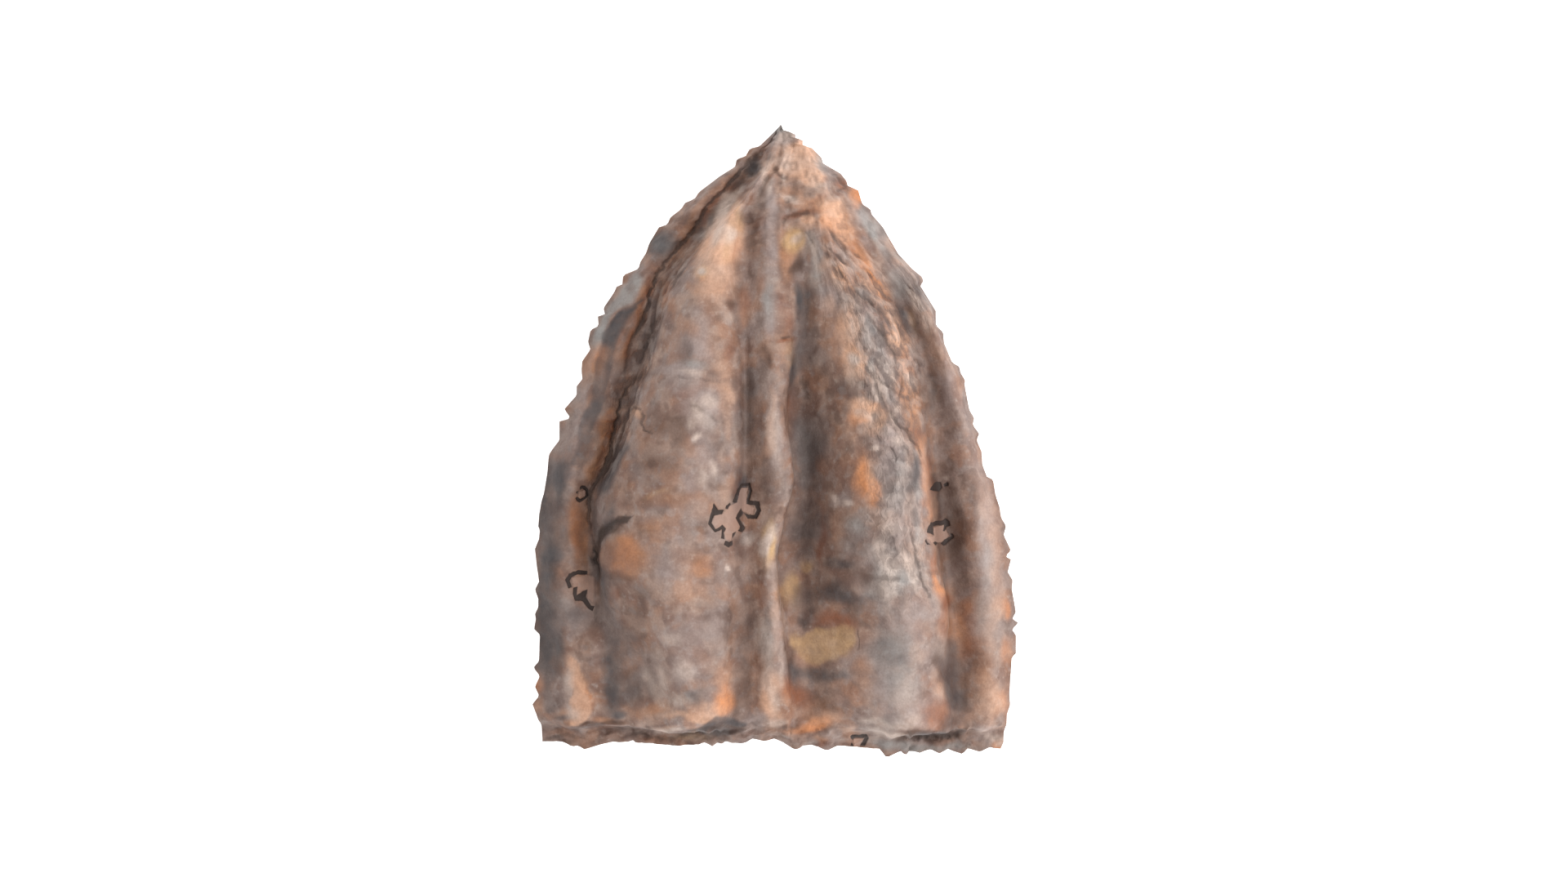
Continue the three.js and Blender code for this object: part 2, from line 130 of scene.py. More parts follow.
# The lines, from the left rim to the right one. Each has its height where the back is highest, as one
# number or as (y, height) pairs, and its path as (y, x) pairs.
LINES = {
    "left rim": (22, None),
    "left plate": (30, [
        (-115, -81), (-80, -77), (-50, -81), (-18, -78.5), (12, -69.5), (43, -60.5), (65, -47), (84, -34.5),
        (98, -21), (112, -5.5)]),
    "left crease": ([(-98, 36), (-79, 35), (-67, 30), (-50, 26), (-20, 25), (20, 26), (80, 27)], [
        (-115, -62), (-97, -61), (-79, -62.5), (-67, -66.5), (-52, -66.8), (-43, -68.4), (-34, -70),
        (-26, -70.1), (-18.5, -69), (-12.3, -65.2), (-6.2, -62.2), (0, -60.6), (12, -57.2), (25, -53.9),
        (31, -52), (43, -48.6), (52, -46.2), (60, -43.4), (70, -36), (76, -31.6), (82, -26.8), (88, -23.2),
        (93, -17.8), (97.6, -14), (103, -9.4), (106, -7), (112, -4.5)]),
    "left lobe lip": ([(-98, 40), (-66, 37), (-49, 34), (-24, 33), (80, 34)], [
        (-115, -51.5), (-100, -51), (-88, -52), (-76, -55.6), (-62, -61), (-51, -64), (-42, -65),
        (-30, -65.6), (-18, -63.6), (-9, -59.6), (-1.5, -56.6), (6, -54.2), (12, -52.6), (21, -50),
        (26, -47.8), (34, -45.4), (43, -43.4), (51, -41.6), (58, -39), (64, -35), (69, -31.4), (78, -25),
        (85, -19.8), (92, -14.2), (98, -9.6), (104, -5.8), (112, -3.4)]),
    "left lobe shoulder": ([(-98, 46), (-24, 42), (80, 42)], [
        (-115, -46), (-95, -41.5), (-76, -47.5), (-60, -54), (-44, -58), (-24, -59), (-9, -55.5),
        (6, -50.5), (18, -47.5), (30, -43.5), (43, -40.5), (60, -34), (70, -27.6), (82, -19), (92, -11.4),
        (97, -8), (104, -4), (112, -2.2)]),
    "left lobe crest": (54, [
        (-115, -34), (-97, -30), (-64, -35.5), (-23, -37.5), (18, -32.5), (42, -29), (60, -24), (82, -16),
        (92, -9.2), (97, -6.2), (104, -2.4), (112, -0.6)]),
    "left lobe fall": (51, [
        (-115, -19.5), (-65, -18), (-24, -18), (42, -17), (60, -16.5), (82, -13), (97, -4.9), (104, -1),
        (112, 0.7)]),
    "left lobe edge": ([(-98, 46), (-60, 46), (-24, 48), (24, 48), (50, 46)], [
        (-115, -15.5), (-98, -15.5), (-65, -14.5), (-24, -13.4), (18, -12.8), (60, -14), (82, -11.4),
        (97, -3.9), (104, 0.2), (112, 2)]),
    "left furrow": ([(-98, 42.5), (18, 43), (42, 45), (80, 45.5)], [
        (-115, -10.5), (-24, -10.3), (18, -10.3), (42, -10.5), (60, -9.8), (82, -8.3), (97, -3.1), (104, 1),
        (112, 3)]),
    "ridge foot": ([(-98, 42.5), (-24, 43.5), (42, 46.5), (80, 47.5)], [
        (-115, -7), (-24, -6.5), (18, -6.5), (42, -7.5), (82, -6), (97, -2.2), (104, 1.7), (112, 3.8)]),
    "ridge crest": ([(-24, 46), (42, 49.5), (80, 51)], [
        (-115, -1), (-65, -1), (-45, -2.5), (-24, 0.5), (18, 1), (42, -2), (82, -2), (97, -0.8), (104, 2.6),
        (112, 5)]),
    "ridge edge": ([(-24, 45), (42, 47.5), (80, 50)], [
        (-115, 4.5), (-99, 5.5), (-72, 3), (-45, 0.5), (-30, 3), (-13, 6.5), (12, 4), (30, 6), (42, 5.8),
        (60, 4), (82, 2), (97, 1.5), (104, 3.6), (112, 6.5)]),
    "ridge wall": ([(-98, 41), (-72, 39.5), (-45, 35), (12, 37), (27, 40), (42, 46), (80, 50)], [
        (-115, 6.4), (-99, 7.4), (-72, 4.9), (-45, 2.4), (-30, 4.8), (-13, 8.2), (12, 5.7), (30, 7.8),
        (42, 7.8), (60, 6.2), (82, 3.8), (97, 3), (104, 4.6), (112, 7)]),
    "right furrow": ([(-98, 38), (-72, 36), (-45, 33), (12, 35), (42, 43), (80, 49)], [
        (-115, 12), (-100, 13), (-73, 10.5), (-45, 9), (-13, 12.2), (12, 10.5), (30, 11.4), (42, 11.6),
        (60, 10.4), (82, 6.6), (97, 5), (104, 5.8), (112, 7.6)]),
    "right lobe step": ([(-98, 42), (-45, 38), (12, 41), (42, 48), (80, 51)], [
        (-115, 19.5), (-99, 22), (-72, 20.5), (-45, 17), (12, 18.5), (42, 17.5), (60, 16), (82, 11.5),
        (97, 8.5), (112, 9)]),
    "right lobe slope": ([(-98, 46), (-72, 46), (-45, 49), (42, 51), (75, 53)], [
        (-115, 35.5), (-72, 34), (-45, 30.5), (12, 29), (42, 24), (60, 19.5), (82, 14.5), (97, 12.5),
        (112, 10)]),
    "right lobe crest": ([(-98, 49), (-72, 51), (-44, 54), (60, 54), (85, 53.2)], [
        (-115, 51), (-71, 48.5), (-44, 46), (-13, 43.5), (12, 39), (42, 32.5), (60, 26), (82, 17.5),
        (97, 15.5), (112, 11.5)]),
    "right lobe edge": ([(-98, 41), (-60, 43), (-44, 46), (60, 46.5), (92, 51)], [
        (-115, 63.5), (-99, 63.5), (-84, 59.5), (-62, 63), (-44, 57.5), (-13, 54.5), (12, 49.5), (42, 42.5),
        (60, 34), (82, 21.5), (97, 18.5), (112, 12.5)]),
    "outer furrow": ([(-98, 29), (-45, 28), (36, 31.5), (60, 38), (82, 44)], [
        (-115, 70.5), (-74, 68), (-46, 65.2), (-30, 64), (-14, 62), (12, 60), (43, 51.8), (61, 42.8),
        (83, 27.4), (97, 21), (112, 13)]),
    "right margin": ([(-98, 32), (12, 34), (60, 38)], [
        (-115, 82), (-73, 80.5), (-45, 78), (-13, 74), (12, 68.4), (42, 59.2), (61, 49.8), (82, 33.6),
        (97, 24), (112, 13.5)]),
    "right rim": (24, None),
}

# The lengthwise swell of every line: a steep climb from the ledge at the broken end, a long back, and a
# slow fall to the tip. In the middle there is no ledge: the break is higher there and the back slopes to it.
RISE = [
    (-115, 0), (-109.5, 0.12), (-105, 0.8), (-98, 0.93), (-65, 0.98), (-24, 1), (18, 0.96), (42, 0.9),
    (60, 0.81), (82, 0.64), (97, 0.44), (112, 0.18), (120, 0.06),
]
GENTLE_RISE = [(-115, 0.12), (-108, 0.5), (-100, 0.8), (-90, 0.93), (-65, 0.98), (-24, 1)]
END_HEIGHT = [(-75, 13), (-24, 14), (-10, 23), (24, 25), (40, 17), (72, 13)]  # (x, height) of the break
MIDDLE = [(-24, 0), (-12, 1), (27, 1), (42, 0)]  # (x, how much it belongs to the middle)
NEAR_END_Y = -92  # below this the skin takes on the height of the break
STRAIGHT_SHARE = 0.6  # how far in from the rim, as a share of the width, the lines run straight to the tip


def curve_through(points):
    """A smooth curve through (position, value) pairs that never overshoots them."""
    at, value = np.array(points, float).T
    slope = np.diff(value) / np.diff(at)
    before, after = slope[:-1], slope[1:]
    same_way = before * after > 0
    middle = np.where(same_way, 2 * before * after / np.where(same_way, before + after, 1), 0)
    tangent = np.concatenate([slope[:1], middle, slope[-1:]])

    def curve(position):
        p = np.clip(position, at[0], at[-1])
        i = np.clip(np.searchsorted(at, p) - 1, 0, len(slope) - 1)
        span = at[i + 1] - at[i]
        t = (p - at[i]) / span
        return (
            (2 * t**3 - 3 * t**2 + 1) * value[i]
            + (t**3 - 2 * t**2 + t) * span * tangent[i]
            + (3 * t**2 - 2 * t**3) * value[i + 1]
            + (t**3 - t**2) * span * tangent[i + 1]
        )

    return curve


def hold(values):
    """A curve from (position, value) pairs, or the same value everywhere."""
    if isinstance(values, list):
        return curve_through(values)
    return lambda position: np.full_like(position, values)


def pick(seed):
    """A repeatable number from 0 to 1 for each whole number, out of the far digits of a sine."""
    wave = np.sin(seed * 12.9898 + 4.1) * 43758.5453
    return wave - np.floor(wave)


def relief(x, y, seed):
    """Smooth random relief from -1 to 1 on a unit grid."""
    column, row = np.floor(x), np.floor(y)
    s, t = x - column, y - row
    s, t = s * s * (3 - 2 * s), t * t * (3 - 2 * t)

    def value(i, j):
        return 2 * pick((column + i) * 57 + (row + j) * 131 + seed) - 1

    low = value(0, 0) * (1 - s) + value(1, 0) * s
    high = value(0, 1) * (1 - s) + value(1, 1) * s
    return low * (1 - t) + high * t


def smooth_step(low, high, value):
    """0 below low, 1 above high, and a smooth climb between."""
    t = np.clip((value - low) / (high - low), 0, 1)
    return t * t * (3 - 2 * t)


rise = curve_through(RISE)
gentle_rise = curve_through(GENTLE_RISE)
end_height = curve_through(END_HEIGHT)
middle = curve_through(MIDDLE)


def corners_on_rim(corners, height):
    """The corners of one side of the rim in millimetres, from the broken end up."""
    pixels = np.array(corners, float)
    points = under_pixel(pixels, height)
    level = RIM_HEIGHT + (height - RIM_HEIGHT) * rise(points[:, 1])
    return under_pixel(pixels, level)


left_corners = corners_on_rim(LEFT_CORNERS, LINES["left rim"][0])
right_corners = corners_on_rim(RIGHT_CORNERS, LINES["right rim"][0])
end_pixels = np.array(END_CORNERS, float)
end_corners = under_pixel(end_pixels, RIM_HEIGHT)
end_corners = under_pixel(end_pixels, end_height(end_corners[:, 0]))


def between_corners(corners):
    """The rim's x at a y: straight from corner to corner, which a row never passes twice."""
    along = np.maximum.accumulate(corners[:, 1] + np.arange(len(corners)) * 1e-6)
    return lambda y: np.interp(y, along, corners[:, 0])


def end_y(x):
    """The y of the broken end at an x."""
    return np.interp(x, end_corners[:, 0], end_corners[:, 1])


left_x = between_corners(left_corners)
right_x = between_corners(right_corners)
paths = [left_x] + [curve_through(path) for _, path in LINES.values() if path] + [right_x]
heights = [hold(height) for height, _ in LINES.values()]

TIP_LIFT = 1.5
tip = np.array([*left_corners[-1], RIM_HEIGHT + TIP_LIFT])
ledge_rows = np.linspace(END_Y, LEDGE_Y, LEDGE_ROWS, endpoint=False)
body_rows = np.arange(LEDGE_Y, NARROW_Y, ROW_STEP)
tip_rows = np.arange(NARROW_Y, tip[1] - TIP_ROW_STEP, TIP_ROW_STEP)
row_y = np.concatenate([ledge_rows, body_rows, tip_rows])


def knots_of_rows(y):
    """Where each row crosses each line, as (x, height)."""
    x = np.stack([path(np.minimum(y, SHOULDER_Y)) for path in paths], axis=1)
    x[:, 0], x[:, -1] = left_x(y), right_x(y)
    shoulder = np.array([path(SHOULDER_Y) for path in paths])
    shares = (shoulder - shoulder[0]) / (shoulder[-1] - shoulder[0])

    # Past the shoulder the outer lines keep along the rim, and the others run straight to the tip.
    past = y > SHOULDER_Y
    left, right = x[past, :1], x[past, -1:]
    run = (y[past, None] - SHOULDER_Y) / (tip[1] - SHOULDER_Y)
    between = left + (right - left) * shares
    straight = shoulder + (tip[0] - shoulder) * run
    x[past] = between + (straight - between) * smooth_step(0, STRAIGHT_SHARE, np.minimum(shares, 1 - shares))

    # The skin swells up from a floor, which near the broken end is as high as the break.
    z = np.stack([height(y) for height in heights], axis=1)
    near_end = smooth_step(NEAR_END_Y, END_Y, y)[:, None]
    floor = RIM_HEIGHT + (end_height(x) - RIM_HEIGHT) * near_end
    climb = rise(y)[:, None]
    climb = climb + (gentle_rise(y)[:, None] - climb) * middle(x) * (y < GENTLE_RISE[-1][0])[:, None]
    z = floor + (z - floor) * climb
    return np.stack([x, z], axis=2)


def spread_across(knots, places):
    """Points at places, counted in lines from the left rim, on each row's smooth curve through its knots.

    The curve turns less sharply where knots are close together, so it never loops.
    """
    first = 2 * knots[:, :1] - knots[:, 1:2]
    last = 2 * knots[:, -1:] - knots[:, -2:-1]
    chain = np.concatenate([first, knots, last], axis=1)
    i = np.minimum(places.astype(int), knots.shape[1] - 2)
    t = (places - i)[None, :, None]
    p0, p1, p2, p3 = (chain[:, i + n] for n in range(4))
    d0, d1, d2 = (
        np.sqrt(np.linalg.norm(after - before, axis=2, keepdims=True) + 1e-6)
        for before, after in ((p0, p1), (p1, p2), (p2, p3))
    )
    out = ((p1 - p0) / d0 - (p2 - p0) / (d0 + d1) + (p2 - p1) / d1) * d1
    into = ((p2 - p1) / d1 - (p3 - p1) / (d1 + d2) + (p3 - p2) / d2) * d1
    return p1 + out * t + (3 * (p2 - p1) - 2 * out - into) * t**2 + (2 * (p1 - p2) + out + into) * t**3


knots = knots_of_rows(row_y)
gaps = np.linalg.norm(np.diff(knots, axis=1), axis=2).mean(axis=0)
facets = np.maximum(2, np.round(COLUMNS_PER_STEP * gaps / COLUMN_STEP)).astype(int)
places = np.concatenate([i + np.arange(n) / n for i, n in enumerate(facets)] + [[len(facets)]])

flat = spread_across(knots, places)
skin = np.empty((len(row_y), len(places), 3))
skin[..., 0] = flat[..., 0]
skin[..., 2] = flat[..., 1]
skin[..., 1] = row_y[:, None]
along = np.broadcast_to(row_y[:, None], flat.shape[:2])
place = np.broadcast_to(places[None, :], flat.shape[:2])

# The uneven swell of the skin: broad lumps, and smaller ones over them. Millimetres.
LUMPS = [(0.8, 12, 18, 7), (0.4, 6, 10, 31), (0.2, 2.6, 4, 53)]  # height, width, length, seed
from_rim = np.minimum(np.minimum(place, len(facets) - place), 1)
body = from_rim * np.minimum(1, 1.5 * rise(along))
for height, width, length, seed in LUMPS:
    skin[..., 2] += body * height * relief(skin[..., 0] / width, along / length, seed)

# The round swelling low on the left lobe, and the curved fold around its upper left side.
SWELLING = {"x": -56, "y": -43, "radius": 11, "height": 1.6, "fold": 1.4, "fold width": 2.2}
away_x, away_y = skin[..., 0] - SWELLING["x"], along - SWELLING["y"]
away = np.hypot(away_x, away_y)
facing = np.maximum(0, (away_y - away_x) / (1.4 * np.maximum(away, 1)))  # most to the upper left
skin[..., 2] += body * SWELLING["height"] * np.exp(-1.4 * (away / SWELLING["radius"]) ** 2)
fold = np.exp(-(((away - SWELLING["radius"]) / SWELLING["fold width"]) ** 2))
skin[..., 2] -= body * SWELLING["fold"] * facing * fold

# Rows near the broken end follow its corners, and rows further up forget them.
FORGETTING = 12
share = np.clip((SHOULDER_Y - along) / (SHOULDER_Y - END_Y), 0, 1) ** FORGETTING
skin[..., 1] = along + share * (end_y(skin[..., 0]) - END_Y)


def normals_of(grid):
    """The upward unit normals of a grid of points."""
    across = np.gradient(grid, axis=1)
    up = np.gradient(grid, axis=0)
    normal = np.cross(across, up)
    return normal / np.maximum(np.linalg.norm(normal, axis=2, keepdims=True), 1e-9)


# Wrinkles run with the lines. They are strongest on the outer side of the right lobe, on the flank over the
# left crease and on the right margin. Towards the tip they give way to lumps. Across the bone their places
# are counted in lines from the left rim, and along it in millimetres.
WRINKLING = {"everywhere": 0.22, "outer side": 0.85, "flank": 0.9, "margin": 0.9, "tip": 0.5}
COARSE_WRINKLE, FINE_WRINKLE = 0.42, 0.34  # heights in millimetres
LUMP_HEIGHTS = (0.12, 0.7)  # on the body, and how much more at the tip, in millimetres

wrinkled = WRINKLING["everywhere"] + 0.1 * smooth_step(62, 84, along)
foot = 16.5 + smooth_step(-15, 30, along)
outer_side = smooth_step(14.9, 15.8, place) * (1 - smooth_step(foot, foot + 0.8, place))
outer_side *= smooth_step(-72, -45, along)
wrinkled += outer_side * (WRINKLING["outer side"] + 0.4 * smooth_step(0, 25, along))
flank = smooth_step(1.3, 2.0, place) * (1 - smooth_step(3.2, 4.0, place)) * smooth_step(-25, -5, along)
wrinkled += WRINKLING["flank"] * flank
margin = smooth_step(18.2, 18.8, place) * smooth_step(35, 55, along) * (1 - smooth_step(80, 95, along))
wrinkled += WRINKLING["margin"] * margin

sway = relief(place / 1.3, along / 9, 11)
coarse = relief(place * 3.6 + 0.1 * along + sway, along / 3.6 + sway, 41)
fine = relief(place * 7.2 + sway, along / 2.2, 97)
near_tip = smooth_step(64, 86, along)
wrinkled *= 1 - 0.9 * near_tip
wrinkles = COARSE_WRINKLE * coarse + FINE_WRINKLE * fine
skin += normals_of(skin) * (body * wrinkled * wrinkles)[..., None]

lumps = 0.7 * relief(skin[..., 0] / 2.4, along / 2.1, 23) + 0.5 * relief(skin[..., 0] / 1.2, along / 1.1, 37)
skin[..., 2] += from_rim * (LUMP_HEIGHTS[0] + LUMP_HEIGHTS[1] * smooth_step(55, 85, along)) * lumps

# How deep in a groove the skin lies: 0 on a crest, 1 in a groove. The material paints shade in the grooves
# and a highlight on the crests by it.
groove = 0.5 - (1 - near_tip) * (0.6 * coarse + 0.3 * fine) - near_tip * 0.8 * lumps
wrinkled += WRINKLING["tip"] * near_tip

# The ledge at the broken end is rough.
BUMP_HEIGHTS = (0.9, 0.5)  # of its broad bumps and its narrow ones, in millimetres
ledge = (1 - smooth_step(-106.5, -99.5, along)) * from_rim
broad_bumps = relief(skin[..., 0] / 2.6, along / 1.7, 61)
narrow_bumps = relief(skin[..., 0], along / 0.9, 83)
skin[..., 2] += ledge * (BUMP_HEIGHTS[0] * broad_bumps + BUMP_HEIGHTS[1] * narrow_bumps)

# The material paints shade into what lies lower than the skin around it.
HOLLOW_REACH = 11.0  # millimetres


def averaged(values, reach):
    """The values of the skin's grid, averaged over a reach in millimetres."""
    for axis, step in ((0, ROW_STEP), (1, COLUMN_STEP)):
        half = int(2.2 * reach / step)
        weights = np.exp(-0.5 * (np.arange(-half, half + 1) * step / reach) ** 2)
        total = np.apply_along_axis(np.convolve, axis, values, weights, "same")
        values = total / np.apply_along_axis(np.convolve, axis, np.ones_like(values), weights, "same")
    return values


hollow = averaged(skin[..., 2], HOLLOW_REACH) - skin[..., 2]
across = np.interp(place, np.arange(len(gaps) + 1), np.concatenate([[0], np.cumsum(gaps)]))


# Bone: the break
# Under the rim the bone is broken off. Its walls lean in under the rim, through the dense outer layer and
# then the spongy inside, down to the rough flat back that the piece rests on.
WALL = [(0, 0.9), (0.34, 0.962), (0.68, 0.972), (0.94, 0.985), (1, 1)]  # share of the height, scale
WALL_RINGS = 11
WALL_ROUGHNESS = 0.9  # millimetres, as BACK_STEP is
BACK_STEP = 2.0
BACK_SCATTER = 0.7  # how far a point of the back may leave its grid, as a share of the step
BACK_INSET = 0.985  # keeps those points off the back's edge

rows, columns = skin.shape[:2]
points = [*skin.reshape(-1, 3), tip]
tip_index = len(points) - 1
index = np.arange(rows * columns).reshape(rows, columns)
faces = [
    (index[i, j], index[i, j + 1], index[i + 1, j + 1], index[i + 1, j])
    for i in range(rows - 1)
    for j in range(columns - 1)
]
faces += [(index[-1, j], index[-1, j + 1], tip_index) for j in range(columns - 1)]

rim = [*index[0], *index[1:, -1], tip_index, *index[:0:-1, 0]]
rim_points = np.array([points[i] for i in rim])
steps = np.linalg.norm(np.diff(rim_points, axis=0, append=rim_points[:1]), axis=1)
distance = np.cumsum(steps)
wall_scale = curve_through(WALL)
ring = rim
for level in np.linspace(1, 0, WALL_RINGS + 1)[1:]:  # from the rim down to the table
    rough = WALL_ROUGHNESS * relief(distance / 3.2, np.full_like(distance, level * 5), 77)
    lower = rim_points.copy()
    lower[:, :2] *= wall_scale(level)
    outward = lower[:, :2] / np.linalg.norm(lower[:, :2], axis=1, keepdims=True)
    lower[:, :2] += outward * rough[:, None] * min(1, 4 * (1 - level))
    lower[:, 2] *= level
    below = list(range(len(points), len(points) + len(lower)))
    points += list(lower)
    for n in range(len(ring)):
        after = (n + 1) % len(ring)
        faces.append((ring[n], below[n], below[after], ring[after]))
    ring = below

# The back is filled with triangles between its ring and scattered points.
back_ring = np.array([points[i] for i in ring])[:, :2]
low, high = back_ring.min(axis=0), back_ring.max(axis=0)
grid_x, grid_y = np.meshgrid(np.arange(low[0], high[0], BACK_STEP), np.arange(low[1], high[1], BACK_STEP))
scatter = np.stack([grid_x.ravel(), grid_y.ravel()], axis=1)
numbers = np.arange(len(scatter))
scatter[:, 0] += BACK_STEP * BACK_SCATTER * (pick(numbers) - 0.5)
scatter[:, 1] += BACK_STEP * BACK_SCATTER * (pick(numbers + 9000) - 0.5)


def within(outline, spots):
    """Which spots lie inside a closed outline."""
    inside = np.zeros(len(spots), bool)
    for (x0, y0), (x1, y1) in zip(outline, np.roll(outline, -1, axis=0)):
        crosses = (y0 > spots[:, 1]) != (y1 > spots[:, 1])
        slope = (x1 - x0) / (y1 - y0) if y1 != y0 else 0
        inside ^= crosses & (spots[:, 0] < x0 + slope * (spots[:, 1] - y0))
    return inside


scatter = scatter[within(back_ring * BACK_INSET, scatter)]
outline = [Vector(p) for p in back_ring]
whole_back = list(range(len(outline)))
laid, _, triangles, origins, _, on_back = delaunay_2d_cdt(
    outline + [Vector(p) for p in scatter], [], [whole_back], 1, 1e-6, True
)
named = {}
for n, sources in enumerate(origins):
    on_ring = [s for s in sources if s < len(ring)]
    if on_ring:
        named[n] = ring[on_ring[0]]
    else:
        named[n] = len(points)
        points.append(np.array([laid[n].x, laid[n].y, 0.0]))
faces += [tuple(named[n] for n in reversed(triangle)) for triangle, on in zip(triangles, on_back) if on]

points = np.array(points)
on_skin = np.zeros(len(points))
on_skin[: tip_index + 1] = 1

mesh = bpy.data.meshes.new("weathered_bone")
mesh.from_pydata(points.tolist(), [], [tuple(int(n) for n in face) for face in faces])
for name, values in (("hollow", hollow), ("across", across), ("wrinkled", wrinkled), ("groove", groove)):
    filled = np.zeros(len(points))
    filled[:tip_index] = values.ravel()
    mesh.attributes.new(name, "FLOAT", "POINT").data.foreach_set("value", filled)
mesh.attributes.new("skin", "FLOAT", "POINT").data.foreach_set("value", on_skin)
